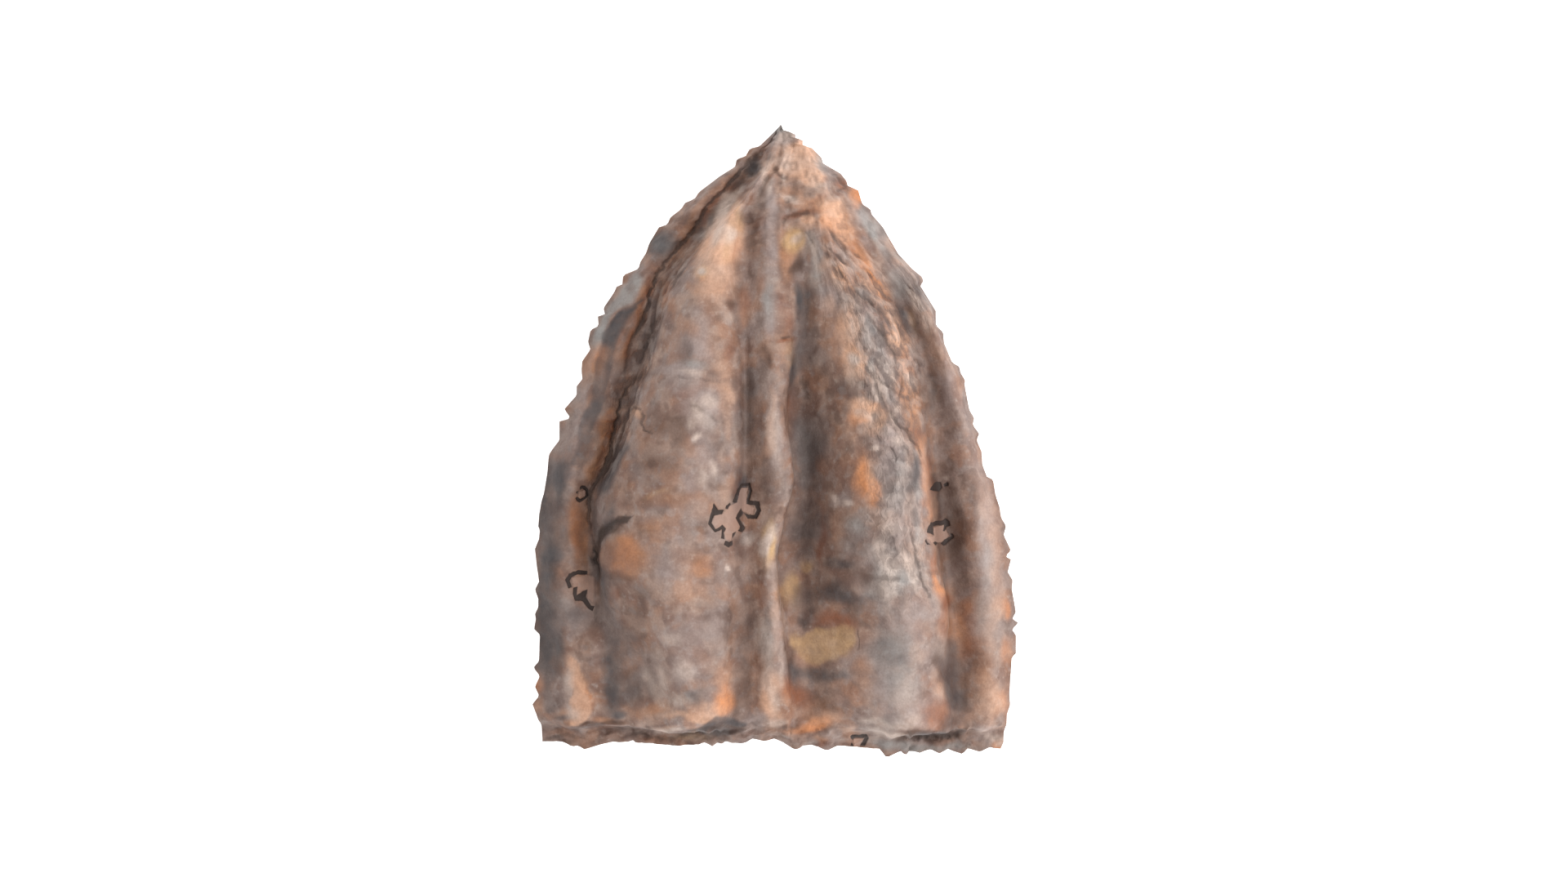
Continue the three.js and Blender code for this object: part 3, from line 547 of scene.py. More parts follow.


# Bone: cracks and chips
# Dark creases in the skin, each as (pixels that it runs through, half width in pixels, depth in millimetres,
# darkness), in two groups whose cracks stay clear of each other. Their darkness is painted shade in the
# creases and folds and under the ledge at the broken end.
CRACKS = [
    {
        "crease beside the left lobe": (
            [(938, 186), (926, 190), (918, 197), (910, 206), (903, 215), (896, 223), (888, 231), (879, 239),
             (870, 248), (862, 258), (858, 268), (851, 279), (842, 289), (832, 300), (824, 313), (813, 325),
             (804, 337), (799, 348), (796, 360), (793, 374), (788, 390), (781, 404), (775, 417), (770, 432),
             (767, 448), (764, 462)], 2.7, 0.5, 0.8),
        "lower crease beside the left lobe": (
            [(784, 461), (775, 467), (767, 477), (761, 490), (758, 503), (755, 518), (751, 536), (746, 558),
             (739, 574), (729, 591), (722, 606), (720, 622), (721, 640), (724, 660)], 2.4, 0.5, 0.85),
        "arc round the swelling": (
            [(776, 631), (764, 635), (752, 641), (743, 648), (735, 657), (730, 669), (728, 684), (731, 698),
             (735, 708)], 4.6, 0.6, 0.75),
        "hook": (
            [(766, 516), (769, 505), (776, 500), (784, 501), (788, 508), (786, 517), (789, 527), (796, 530),
             (804, 525)], 2.2, 0.36, 0.6),
        "slanting streak": ([(843, 495), (853, 499), (864, 505), (876, 515), (885, 526)], 2.6, 0.3, 0.3),
        "cross line": (
            [(822, 466), (832, 462), (842, 464), (856, 463), (870, 466), (888, 466), (905, 467)],
            2.4, 0.2, 0.28),
        "crease under the tip": (
            [(957, 274), (962, 268), (968, 264), (976, 262), (984, 261), (993, 260)], 3.0, 0.35, 0.5),
        "crease on the upper right rim": (
            [(1016, 212), (1024, 215), (1030, 222), (1036, 228), (1030, 232), (1022, 236)], 2.2, 0.37, 0.45),
        "mark in the upper right furrow": (
            [(980, 456), (981, 466), (984, 476), (989, 490)], 3.2, 0.3, 0.45),
        "line across the ridge": ([(953, 414), (961, 415), (970, 414)], 2.2, 0.3, 0.6),
        "crack on the right lobe": ([(1090, 546), (1094, 553), (1097, 561), (1098, 568)], 1.7, 0.35, 0.6),
        "edge of the right lobe": (
            [(1088, 500), (1092, 508), (1098, 517), (1104, 523), (1111, 527), (1117, 537), (1123, 546),
             (1128, 556), (1130, 566)], 2.0, 0.4, 0.6),
        "foot of the right lobe": (
            [(1113, 640), (1117, 656), (1121, 674), (1124, 692), (1128, 710), (1134, 724), (1143, 738)],
            2.2, 0.4, 0.6),
        "side of the ochre stain": ([(1050, 770), (1052, 780), (1051, 792), (1049, 798)], 1.4, 0.15, 0.45),
        "wrinkle under the orange strip": (
            [(1012, 276), (1020, 287), (1029, 297), (1037, 309), (1044, 318)], 2.4, 0.35, 0.5),
        "long wrinkle": (
            [(1058, 378), (1065, 386), (1072, 397), (1081, 409), (1088, 422), (1095, 433), (1100, 447)],
            2.2, 0.35, 0.55),
        "lower long wrinkle": (
            [(1073, 455), (1077, 464), (1085, 472), (1094, 478), (1101, 484)], 1.9, 0.3, 0.5),
        "broken end, left": ([(664, 905), (680, 902), (693, 899), (705, 902), (715, 901)], 2.6, 0.3, 0.45),
        "ledge, left": ([(709, 892), (720, 890), (731, 889), (741, 886)], 3.0, 0.3, 0.55),
        "ledge, middle": (
            [(765, 903), (775, 900), (786, 897), (795, 902), (815, 905), (830, 903), (845, 897), (860, 893),
             (880, 890), (897, 888)], 3.2, 0.35, 0.5),
        "ledge, right": (
            [(1110, 899), (1122, 904), (1137, 904), (1150, 901), (1163, 902), (1175, 896), (1188, 892)],
            3.8, 0.5, 0.6),
    },
    {
        "second line of the crease": (
            [(937, 203), (922, 212), (908, 223), (898, 232), (890, 240)], 2.4, 0.3, 0.4),
        "fold beside the crease": (
            [(803, 384), (799, 398), (795, 412), (790, 426), (785, 440), (781, 452)], 2.4, 0.4, 0.5),
        "lip of the left lobe": (
            [(768, 503), (764, 514), (763, 527), (757, 541), (752, 556), (745, 570), (738, 583), (731, 596)],
            2.0, 0.3, 0.5),
        "line beside the swelling": ([(724, 655), (726, 672), (730, 690), (736, 706)], 1.8, 0.25, 0.5),
        "line below the swelling": ([(736, 712), (741, 726), (746, 740), (757, 752)], 1.6, 0.15, 0.3),
        "smudge by the chip": ([(730, 735), (731, 750), (729, 765)], 2.6, 0.1, 0.4),
        "wrinkle 1": ([(1003, 293), (1012, 302), (1023, 311), (1033, 322), (1040, 330)], 2.0, 0.3, 0.45),
        "wrinkle 2": ([(1018, 318), (1026, 330), (1034, 341), (1042, 351)], 1.8, 0.25, 0.45),
        "wrinkle 3": ([(1042, 350), (1052, 359), (1063, 368), (1074, 381), (1080, 392)], 2.6, 0.35, 0.5),
        "wrinkle 4": ([(1050, 392), (1058, 404), (1066, 414), (1072, 428)], 1.6, 0.2, 0.35),
        "wrinkle 5": ([(1090, 398), (1094, 412), (1099, 424)], 1.6, 0.2, 0.35),
        "wrinkle 6": ([(1104, 452), (1106, 466), (1102, 480), (1100, 494)], 1.7, 0.3, 0.45),
        "wrinkle 7": ([(1098, 530), (1106, 541), (1112, 553), (1116, 566)], 1.7, 0.25, 0.35),
        "wrinkle 8": ([(1100, 575), (1104, 595), (1104, 612)], 1.6, 0.2, 0.25),
        "second crack on the right lobe": ([(1062, 637), (1070, 641), (1078, 643)], 1.8, 0.25, 0.4),
        "dark pit by the edge": ([(1094, 670), (1098, 675), (1100, 680)], 2.4, 0.4, 0.45),
        "fold low on the right lobe": ([(1095, 807), (1113, 802), (1128, 795), (1140, 782)], 2.6, 0.2, 0.25),
        "fold on the tip": ([(949, 203), (952, 212), (958, 218), (966, 218)], 2.6, 0.35, 0.5),
        "second fold on the tip": ([(968, 244), (962, 250), (955, 250)], 2.0, 0.2, 0.3),
        "line beside the ridge": ([(962, 470), (959, 490), (961, 515), (965, 540)], 1.6, 0.15, 0.3),
        "top of the ochre hollow": ([(985, 283), (990, 289), (996, 297)], 2.0, 0.2, 0.4),
        "rim line, right": ([(1113, 333), (1121, 345), (1126, 356)], 2.0, 0.3, 0.4),
    },
]

# Places where a flake of the skin has come off. Dirt has stained the broken edge of each in flat dark
# pieces, drawn by their corners in pixels.
CHIP_STAINS = {
    "middle, upper edge": [
        (897, 615), (903, 600), (908, 592.5), (918, 591), (920.5, 601), (918, 613), (929.5, 614),
        (931.5, 625.5), (926.5, 635.5), (915, 635), (911, 628), (917, 630), (923.5, 630.5), (926, 624.5),
        (924, 619), (914, 617.5), (914, 611), (917, 601.5), (915.5, 594.5), (910, 595), (904, 607),
        (903, 616)],
    "middle, upper knot": [(888, 623), (889, 619), (893.5, 615.5), (895, 617.5), (891.5, 624)],
    "middle, left edge": [
        (874, 615.5), (879.5, 624.5), (887, 624.5), (884, 630), (874.5, 631.5), (871.5, 640), (876.5, 648),
        (885, 642.5), (889.5, 647.5), (886.5, 652), (887.5, 660.5), (883, 659.5), (884, 648.5), (875.5, 652),
        (867, 641.5), (871, 627)],
    "middle, foot": [(888.5, 662), (893.5, 664), (897.5, 662), (897.5, 667), (893, 671), (886.5, 667.5)],
    "middle, lower knot": [(897, 653), (902.5, 650.5), (900, 655.5), (896.5, 659)],
    "middle, right edge": [
        (908, 621.5), (910.5, 628.5), (906, 635), (912.5, 646), (909.5, 652), (904, 650), (907, 645),
        (901, 634)],
    "lower left, upper edge": [
        (719.5, 699), (719.5, 703.5), (707, 703.5), (700.5, 706.5), (697.5, 711), (701, 719), (696.5, 721),
        (692, 710), (697, 702), (708, 698)],
    "lower left, lower edge": [
        (702, 719.5), (707.5, 718), (706.5, 729), (713, 724), (719.5, 721.5), (717.5, 731), (724, 741.5),
        (728, 742), (725.5, 748.5), (720, 745), (713, 736), (704, 735.5), (701.5, 727)],
    "upper left": [
        (710, 597), (712, 594.5), (717, 595), (720.5, 599), (720.5, 608), (716, 612), (710, 615.5),
        (706, 613.5), (704.5, 610), (707, 608), (711, 611), (715, 609.5), (717.5, 606), (717, 601),
        (713.5, 598.5), (710.5, 599.5)],
    "upper left, spot": [(705, 602.5), (709, 601), (707.5, 605.5)],
    "right, upper edge": [
        (1140, 640), (1146, 638), (1154, 637), (1158, 634.5), (1162, 638), (1163.5, 644), (1159, 645),
        (1157.5, 651), (1155, 650.5), (1156.5, 642), (1147, 643.5), (1143.5, 645), (1144.5, 656),
        (1140, 653.5), (1135, 652), (1135.5, 648)],
    "right, lower left": [(1134, 659.5), (1136, 664), (1140, 667), (1135.5, 667), (1133, 663)],
    "right, lower knot": [(1143, 664.5), (1146, 663), (1149.5, 664.5), (1146, 668)],
    "right, lower right": [
        (1163, 653.5), (1166, 653), (1168.5, 657.5), (1162, 663), (1156, 668.5), (1152, 665.5),
        (1157, 660.5), (1164.5, 656.5)],
    "upper right": [(1139, 600), (1144, 591), (1147, 589.5), (1152.5, 590.5), (1153.5, 597), (1150.5, 602)],
    "upper right, spot": [(1155, 593), (1159, 590), (1161.5, 591.5), (1160.5, 595), (1156, 596)],
    "broken end": [
        (1041, 902), (1044, 899.5), (1061.5, 899), (1064, 904), (1059, 914), (1053, 913.5), (1058.5, 904),
        (1047, 904), (1044, 907), (1041.5, 904)],
    "broken end, spot": [(1041, 914), (1042.5, 909), (1045.5, 914)],
}

# The fresher bone inside the chips.
CHIP_FLOORS = [
    [(907, 598), (916, 597), (914, 614), (917, 618), (925, 622), (922, 630), (909, 626), (903, 634),
     (908, 648), (898, 655), (895, 662), (889, 661), (887, 650), (876, 648), (872, 640), (876, 631),
     (887, 628), (893, 620), (903, 615)],
    [(700, 708), (718, 704), (727, 706), (726, 738), (719, 732), (719, 722), (708, 724), (702, 718)],
    [(709, 602), (716, 601), (716, 608), (708, 609)],
    [(1144, 646), (1156, 643), (1160, 652), (1163, 656), (1154, 664), (1142, 665), (1135, 658), (1143, 657)],
    [(1046, 905), (1057, 905), (1053, 914), (1046, 914)],
]
CHIP_DEPTH = 0.4  # millimetres
FAR = 12.0  # how far from a crack the skin knows its distance, in pixels
WIDE = 0.36  # a crack deeper than this, in millimetres, needs a finer mesh
WIDE_REACH, CHIP_REACH = 5.0, 2.6  # how far from them the mesh is made finer, in pixels


def from_line(spots, line, closed=False):
    """How far each spot is from a line through pixels, its side, and how far along the line, from 0 to 1."""
    line = np.array(line, float)
    if closed:
        line = np.vstack([line, line[:1]])
    lengths = np.linalg.norm(np.diff(line, axis=0), axis=1)
    starts = np.concatenate([[0], np.cumsum(lengths)])
    gap = np.full(len(spots), np.inf)
    side = np.ones(len(spots))
    reached = np.zeros(len(spots))
    near = np.all((spots > line.min(axis=0) - 60) & (spots < line.max(axis=0) + 60), axis=1)
    close = spots[near]
    best, best_side, best_reached = gap[near], side[near], reached[near]
    for a, b, length, start in zip(line[:-1], line[1:], lengths, starts):
        t = np.clip(((close - a) @ (b - a)) / length**2, 0, 1)
        off = close - a - t[:, None] * (b - a)
        distance = np.linalg.norm(off, axis=1)
        closer = distance < best
        best = np.where(closer, distance, best)
        turn = (b - a)[0] * off[:, 1] - (b - a)[1] * off[:, 0]
        best_side = np.where(closer, np.where(turn < 0, -1, 1), best_side)
        best_reached = np.where(closer, (start + t * length) / starts[-1], best_reached)
    gap[near], side[near], reached[near] = best, best_side, best_reached
    return gap, side, reached


def tapered(along):
    """1 along the middle of a crack, running out at both ends."""
    return np.sqrt(np.clip(6 * np.minimum(along, 1 - along), 0, 1))


def swayed(spots, size, amount, seed):
    """The spots moved about by smooth random relief of a size, in pixels."""
    x = relief(spots[:, 0] / size, spots[:, 1] / size, seed)
    y = relief(spots[:, 0] / size, spots[:, 1] / size, seed + 1)
    return spots + amount * np.stack([x, y], axis=1)


def inside(spots, corners):
    """How far inside a closed outline each spot is, in pixels, and below 0 outside it."""
    gap, _, _ = from_line(spots, corners, closed=True)
    return np.where(within(np.array(corners, float), spots), gap, -gap)


def inside_chip_stain(spots):
    """How far inside the nearest dark piece each spot is, in pixels, and below 0 outside them all."""
    depth = np.full(len(spots), -FAR)
    for corners in CHIP_STAINS.values():
        depth = np.maximum(depth, inside(spots, corners))
    return depth


def chip_gap(spots):
    """How far spots are from the edge of the nearest dark piece, in pixels."""
    return np.abs(inside_chip_stain(spots))


def made_finer(shaping, skin_layer, gap_of, reach):
    """Cuts the skin's faces in four where gap_of their centres in the picture is within reach."""
    faces = [face for face in shaping.faces if all(v[skin_layer] > 0.99 for v in face.verts)]
    centres = in_picture(np.array([face.calc_center_median() for face in faces]))
    chosen = [face for face, gap in zip(faces, gap_of(centres)) if gap < reach]
    edges = list({edge for face in chosen for edge in face.edges})
    bmesh.ops.subdivide_edges(shaping, edges=edges, cuts=1, use_grid_fill=True)


def wide_gap(spots):
    """How far spots are from the nearest of the wide creases or chips, in pixels."""
    gap = chip_gap(spots)
    for group in CRACKS:
        for line, half_width, depth, _ in group.values():
            if depth > WIDE:
                gap = np.minimum(gap, from_line(spots, line)[0])
    return gap


shaping = bmesh.new()
shaping.from_mesh(mesh)
skin_layer = shaping.verts.layers.float["skin"]
made_finer(shaping, skin_layer, wide_gap, WIDE_REACH)
made_finer(shaping, skin_layer, chip_gap, CHIP_REACH)
bmesh.ops.recalc_face_normals(shaping, faces=shaping.faces)
shaping.normal_update()

place_now = np.array([vert.co for vert in shaping.verts])
facing_now = np.array([vert.normal for vert in shaping.verts])
on_skin = np.array([vert[skin_layer] for vert in shaping.verts])
seen = in_picture(place_now)

on_bone = {}
sunk = np.zeros(len(seen))
cracked = swayed(seen, 7.0, 1.8, 5)
for n, group in enumerate(CRACKS):
    nearest = np.full(len(seen), FAR)
    side = np.ones(len(seen))
    dark = np.zeros(len(seen))
    for line, half_width, depth, darkness in group.values():
        gap, on_side, reached = from_line(cracked, line)
        gap = gap * 2 / half_width
        taper = tapered(reached)
        sunk += depth * np.exp(-((gap / 2) ** 2)) * taper
        closer = gap < nearest
        nearest = np.where(closer, gap, nearest)
        side = np.where(closer, on_side, side)
        dark = np.where(closer, darkness * taper * (1 - smooth_step(0.3 * FAR, 0.6 * FAR, gap)), dark)
    on_bone[f"crack_{n}"] = nearest * side
    on_bone[f"crack_{n}_dark"] = dark * on_skin
stained = inside_chip_stain(seen + 0.35 * relief(seen[:, 0] / 3, seen[:, 1] / 3, 15)[:, None])
floor = np.zeros(len(seen))
for corners in CHIP_FLOORS:
    floor = np.maximum(floor, within(np.array(corners, float), seen) * 1.0)
on_bone["chip_stain"] = np.where(on_skin > 0.5, stained, -FAR)
on_bone["chip_floor"] = floor * on_skin
sunk += CHIP_DEPTH * np.maximum(smooth_step(-0.8, 1.2, stained), 0.5 * floor)
place_now -= facing_now * (sunk * on_skin)[:, None]


# Bone: stains and painted shade
# Minerals and soil have stained the bone in soft patches: iron oxide as rust and orange, clay as peach and
# ochre, manganese as slate and umber, lime as pale spots. Some of the umber and slate is painted shade
# instead: down the furrows, in the creases and folds and on the left-facing flank of the left lobe, and
# along the ledge at the broken end; and a few pale streaks and spots are painted highlights. Each patch is
# (x, y, half width, half height, strength), with its turn in degrees where it has one and then how crisp
# its edge is. Each streak is (pixels that it runs through, half width, strength). Lengths are in pixels of
# the picture.
PATCHES = {
    "lilac": [
        # tip
        (962, 170, 24, 10, 0.8), (955, 175, 10, 14, 0.2), (995, 199, 12, 8, 0.5), (1015, 208, 12, 12, 0.4),
        (948, 232, 8, 22, 0.35), (990, 235, 10, 8, 0.3), (930, 238, 8, 16, 0.4),
        # left margin
        (700, 560, 8, 20, 0.15), (680, 580, 14, 26, 0.35), (690, 585, 18, 26, 0.2), (728, 800, 14, 16, 0.3),
        (700, 816, 7, 12, 0.4), (700, 852, 9, 28, 0.35),
        # left lobe
        (820, 402, 10, 14, 0.25), (860, 410, 16, 26, 0.4), (835, 425, 14, 16, 0.35),
        (855, 425, 16, 24, 0.45), (858, 430, 12, 14, 0.3), (838, 470, 20, 30, 0.3), (781, 486, 13, 11, 0.5),
        (850, 500, 24, 34, 0.4, -20), (868, 500, 16, 22, 0.5), (848, 505, 12, 16, 0.2),
        (868, 560, 16, 26, 0.5), (842, 590, 12, 14, 0.5), (820, 690, 34, 40, 0.35), (822, 706, 14, 6, 0.4),
        (850, 765, 40, 22, 0.4), (812, 782, 16, 10, 0.4), (838, 815, 26, 26, 0.5),
        # ridge and left furrow
        (938, 398, 9, 16, 0.5), (948, 770, 8, 30, 0.5),
        # right lobe
        (999, 299, 8, 24, 0.5, -10), (1060, 300, 8, 14, 0.45, -35), (1010, 345, 10, 20, 0.3, -20),
        (1020, 365, 16, 14, 0.5), (1012, 372, 12, 16, 0.4), (1062, 385, 14, 12, 0.5, -40),
        (1048, 388, 6, 12, 0.35), (1085, 440, 14, 24, 0.6, -20), (1103, 462, 4, 14, 0.4, -10),
        (1092, 553, 30, 30, 0.6), (1028, 614, 14, 8, 0.6), (1105, 630, 22, 46, 0.6),
        (1090, 688, 16, 26, 0.4), (1092, 692, 14, 20, 0.4), (1065, 700, 22, 40, 0.5),
        (1115, 755, 36, 44, 0.5), (1118, 760, 20, 26, 0.2), (1075, 800, 24, 34, 0.4),
        (1140, 800, 12, 20, 0.3), (1093, 850, 30, 34, 0.65), (1125, 875, 22, 16, 0.5),
        # right margin
        (1048, 262, 8, 10, 0.3, -40), (1055, 262, 10, 14, 0.4, -40), (1085, 295, 10, 20, 0.4, -40),
        (1100, 330, 12, 26, 0.5, -40), (1100, 360, 8, 20, 0.4, -35), (1160, 460, 10, 24, 0.45, -20),
        (1160, 480, 8, 18, 0.4), (1205, 600, 12, 40, 0.5, -10), (1208, 650, 12, 44, 0.5),
        (1210, 700, 18, 46, 0.6), (1195, 770, 14, 30, 0.3), (1215, 775, 16, 26, 0.35),
        # broken end
        (930, 883, 28, 12, 0.5), (709, 897, 12, 4, 0.4), (1206, 897, 14, 7, 0.6), (1132, 911, 16, 7, 0.6),
    ],
    "ash": [
        # tip
        (957, 161, 16, 9, 0.8), (1005, 203, 14, 12, 0.5), (846, 238, 14, 8, 0.3, -35),
        (882, 256, 9, 20, 0.55, 35),
        # left margin
        (812, 300, 13, 14, 0.3, 32), (812, 300, 10, 10, 0.25, 30), (812, 300, 11, 12, 0.3, 30),
        (738, 398, 6, 16, 0.3, 20), (720, 400, 8, 30, 0.3, 10), (735, 412, 8, 9, 0.6),
        (705, 470, 7, 40, 0.4, 8), (735, 560, 4, 14, 0.3, 20), (700, 600, 6, 20, 0.2),
        (690, 605, 10, 16, 0.3), (690, 730, 12, 20, 0.4),
        # left lobe
        (880, 262, 10, 16, 0.4, 30), (850, 448, 24, 6, 0.5), (868, 520, 12, 20, 0.35, -20),
        (830, 548, 12, 12, 0.1), (820, 560, 20, 14, 0.1), (855, 740, 14, 8, 0.5), (842, 858, 12, 10, 0.35),
        # ridge and left furrow
        (944, 362, 9, 28, 0.4), (938, 370, 7, 30, 0.35), (915, 660, 9, 10, 0.5), (940, 780, 10, 40, 0.5),
        # right lobe
        (1000, 350, 10, 16, 0.4), (1065, 420, 14, 30, 0.35, -20), (1065, 452, 6, 10, 0.7),
        (990, 545, 11, 40, 0.4), (1110, 560, 14, 30, 0.35), (1100, 600, 20, 34, 0.4),
        (1122, 630, 6, 50, 0.5), (1045, 645, 18, 12, 0.5), (988, 650, 10, 40, 0.3),
        (1085, 665, 26, 16, 0.3), (1105, 705, 18, 11, 0.55), (1085, 710, 26, 34, 0.65),
        (1030, 757, 14, 8, 0.2), (1085, 785, 24, 18, 0.3), (1095, 800, 30, 36, 0.35),
        (1100, 840, 26, 30, 0.4),
        # right margin
        (1075, 283, 10, 16, 0.4, -35), (1070, 285, 8, 18, 0.4, -40), (1110, 345, 10, 24, 0.4, -35),
        (1100, 350, 10, 26, 0.5, -40), (1138, 365, 10, 24, 0.35, -30), (1163, 650, 8, 30, 0.25),
        (1165, 650, 8, 26, 0.25), (1213, 690, 9, 46, 0.3), (1204, 745, 9, 46, 0.3),
        (1220, 780, 10, 40, 0.35),
        # broken end
        (1085, 890, 26, 12, 0.4), (1210, 902, 16, 6, 0.4), (1090, 912, 36, 8, 0.6), (1150, 913, 60, 6, 0.6),
    ],
    "tan": [
        # tip
        (900, 235, 10, 12, 0.3), (952, 240, 8, 16, 0.3), (975, 240, 22, 14, 0.5), (1010, 243, 10, 8, 0.3),
        (1005, 250, 12, 12, 0.4),
        # left margin
        (745, 438, 8, 30, 0.4, 14), (735, 447, 9, 14, 0.6, 20), (718, 448, 9, 26, 0.45, 10),
        (744, 525, 7, 30, 0.6, 14), (708, 650, 10, 44, 0.7), (717, 660, 4, 40, 0.5),
        (716, 838, 6, 16, 0.4, -15),
        # left lobe
        (883, 308, 12, 14, 0.5), (850, 350, 12, 8, 0.4), (812, 360, 7, 18, 0.5, 10),
        (845, 400, 12, 16, 0.4), (870, 425, 14, 14, 0.2), (783, 535, 9, 22, 0.35), (884, 560, 8, 16, 0.3),
        (765, 590, 10, 14, 0.25), (820, 610, 36, 8, 0.35), (870, 620, 22, 18, 0.3),
        (800, 640, 22, 12, 0.35), (803, 655, 16, 14, 0.4), (762, 682, 26, 28, 0.6, 0, 2.8),
        (798, 688, 12, 12, 0.3), (858, 690, 18, 16, 0.3), (858, 692, 14, 12, 0.25), (866, 702, 12, 8, 0.4),
        (862, 735, 14, 12, 0.25), (800, 870, 34, 8, 0.4),
        # ridge and left furrow
        (970, 308, 13, 20, 0.5), (960, 320, 9, 26, 0.5), (915, 375, 10, 26, 0.45), (965, 425, 12, 18, 0.3),
        (962, 525, 8, 18, 0.35), (912, 560, 12, 22, 0.35),
        # right lobe
        (1012, 395, 12, 14, 0.2), (1024, 400, 24, 14, 0.15), (1020, 425, 20, 22, 0.2),
        (1118, 500, 9, 36, 0.5, -6), (1012, 540, 16, 22, 0.15), (1063, 580, 10, 34, 0.4, -10),
        (1115, 620, 8, 30, 0.3), (1020, 640, 18, 24, 0.3), (1155, 765, 8, 22, 0.3),
        (1130, 770, 14, 10, 0.25), (1048, 812, 10, 14, 0.35), (1060, 827, 12, 18, 0.35),
        (1000, 870, 30, 14, 0.4),
        # right margin
        (1162, 724, 10, 14, 0.5), (1172, 770, 14, 34, 0.6), (1205, 800, 12, 40, 0.25),
        # broken end
        (740, 884, 24, 5, 0.5), (990, 900, 26, 8, 0.3), (1008, 907, 10, 4, 0.5),
    ],
    "umber": [
        # tip
        (993, 186, 5, 12, 0.4, -40), (941, 194, 6, 5, 0.3), (947, 200, 5, 9, 0.4), (946, 203, 5, 9, 0.35),
        (957, 216, 6, 5, 0.35, 30), (958, 216, 8, 6, 0.4, 30), (992, 232, 8, 12, 0.35),
        (888, 242, 7, 9, 0.4, 35), (990, 243, 5, 4, 0.5), (1010, 244, 17, 6, 0.35, -8),
        # left margin
        (774, 350, 7, 7, 0.4), (768, 440, 5, 12, 0.25, 15), (742, 498, 6, 12, 0.3),
        (706, 590, 4, 22, 0.3, 10), (664, 612, 5, 12, 0.3), (680, 640, 22, 60, 0.4), (712, 640, 6, 40, 0.3),
        (678, 720, 18, 40, 0.35), (722, 790, 8, 10, 0.4),
        # left lobe
        (911, 288, 6, 24, 0.45), (834, 335, 6, 4, 0.6), (895, 371, 10, 6, 0.6), (842, 430, 9, 12, 0.3),
        (785, 462, 20, 7, 0.5, -10), (840, 471, 8, 6, 0.3), (836, 486, 14, 6, 0.3), (818, 487, 8, 8, 0.25),
        (855, 500, 6, 6, 0.2, 30), (852, 502, 8, 6, 0.3, 30), (855, 503, 7, 7, 0.35, 30),
        (840, 520, 12, 10, 0.3), (898, 520, 4, 18, 0.4), (820, 522, 28, 16, 0.5), (833, 541, 11, 14, 0.4),
        (790, 560, 20, 26, 0.35), (820, 562, 20, 14, 0.45), (822, 582, 26, 14, 0.3), (870, 592, 4, 7, 0.5),
        (820, 608, 24, 6, 0.3), (822, 616, 26, 5, 0.25), (745, 641, 11, 8, 0.4), (752, 645, 14, 8, 0.4),
        (860, 645, 20, 12, 0.25), (758, 706, 20, 7, 0.6), (752, 728, 12, 14, 0.4), (787, 729, 16, 8, 0.4),
        (860, 748, 16, 12, 0.25), (780, 749, 12, 12, 0.35), (730, 760, 16, 20, 0.3),
        (892, 765, 12, 30, 0.35), (776, 770, 26, 20, 0.15), (770, 785, 18, 26, 0.35),
        (870, 800, 10, 10, 0.25), (799, 801, 12, 12, 0.35), (815, 821, 8, 8, 0.25),
        (796, 836, 6, 22, 0.45, -12), (775, 843, 14, 24, 0.4), (801, 848, 8, 14, 0.4, 10),
        (893, 858, 8, 8, 0.1), (899, 866, 8, 20, 0.6),
        # ridge and left furrow
        (963, 271, 6, 5, 0.4, -30), (921, 285, 8, 36, 0.5), (976, 327, 7, 15, 0.7, 5),
        (976, 328, 6, 12, 0.5, 5), (905, 350, 5, 30, 0.25), (906, 350, 6, 10, 0.3), (905, 400, 7, 26, 0.4),
        (962, 415, 9, 2, 0.4), (910, 438, 6, 10, 0.4), (938, 438, 7, 14, 0.4), (936, 445, 9, 30, 0.35),
        (950, 520, 6, 30, 0.12), (960, 568, 5, 20, 0.3), (936, 580, 12, 26, 0.5), (905, 600, 7, 30, 0.6),
        (905, 600, 6, 24, 0.3), (935, 600, 8, 20, 0.3), (912, 605, 14, 18, 0.5), (950, 618, 9, 16, 0.25),
        (943, 636, 10, 18, 0.35), (914, 686, 6, 15, 0.3), (915, 800, 12, 60, 0.25), (966, 800, 7, 26, 0.4),
        (966, 825, 7, 26, 0.4), (912, 840, 10, 20, 0.35), (975, 852, 10, 9, 0.3),
        # right lobe
        (1093, 442, 5, 8, 0.35), (1094, 446, 7, 5, 0.4), (1012, 450, 8, 20, 0.3), (975, 470, 7, 18, 0.4),
        (1112, 500, 7, 16, 0.25), (1112, 502, 8, 18, 0.3), (1008, 517, 8, 8, 0.25),
        (1015, 520, 12, 20, 0.3), (1047, 545, 12, 7, 0.25), (1110, 590, 8, 30, 0.35),
        (1012, 600, 16, 26, 0.3), (1146, 620, 6, 26, 0.5), (1062, 640, 10, 5, 0.2, 20),
        (982, 665, 14, 20, 0.3), (1072, 671, 9, 5, 0.3, 20), (1071, 690, 8, 6, 0.35),
        (1120, 690, 5, 20, 0.3, -14), (1126, 690, 4, 22, 0.3, -10), (1066, 700, 12, 8, 0.35),
        (1055, 705, 20, 16, 0.5), (1082, 715, 14, 14, 0.35), (1077, 730, 12, 10, 0.25),
        (1097, 731, 8, 5, 0.3), (1045, 740, 12, 10, 0.45), (1156, 742, 5, 8, 0.6), (1141, 745, 10, 8, 0.2),
        (1055, 758, 18, 20, 0.4), (1140, 795, 7, 24, 0.25), (1148, 800, 5, 18, 0.5),
        (1040, 848, 12, 14, 0.2), (1005, 854, 16, 16, 0.3), (1020, 868, 20, 12, 0.4),
        # right margin
        (1080, 278, 4, 16, 0.3, -35), (1098, 312, 8, 14, 0.45, -40), (1096, 350, 5, 9, 0.4, -30),
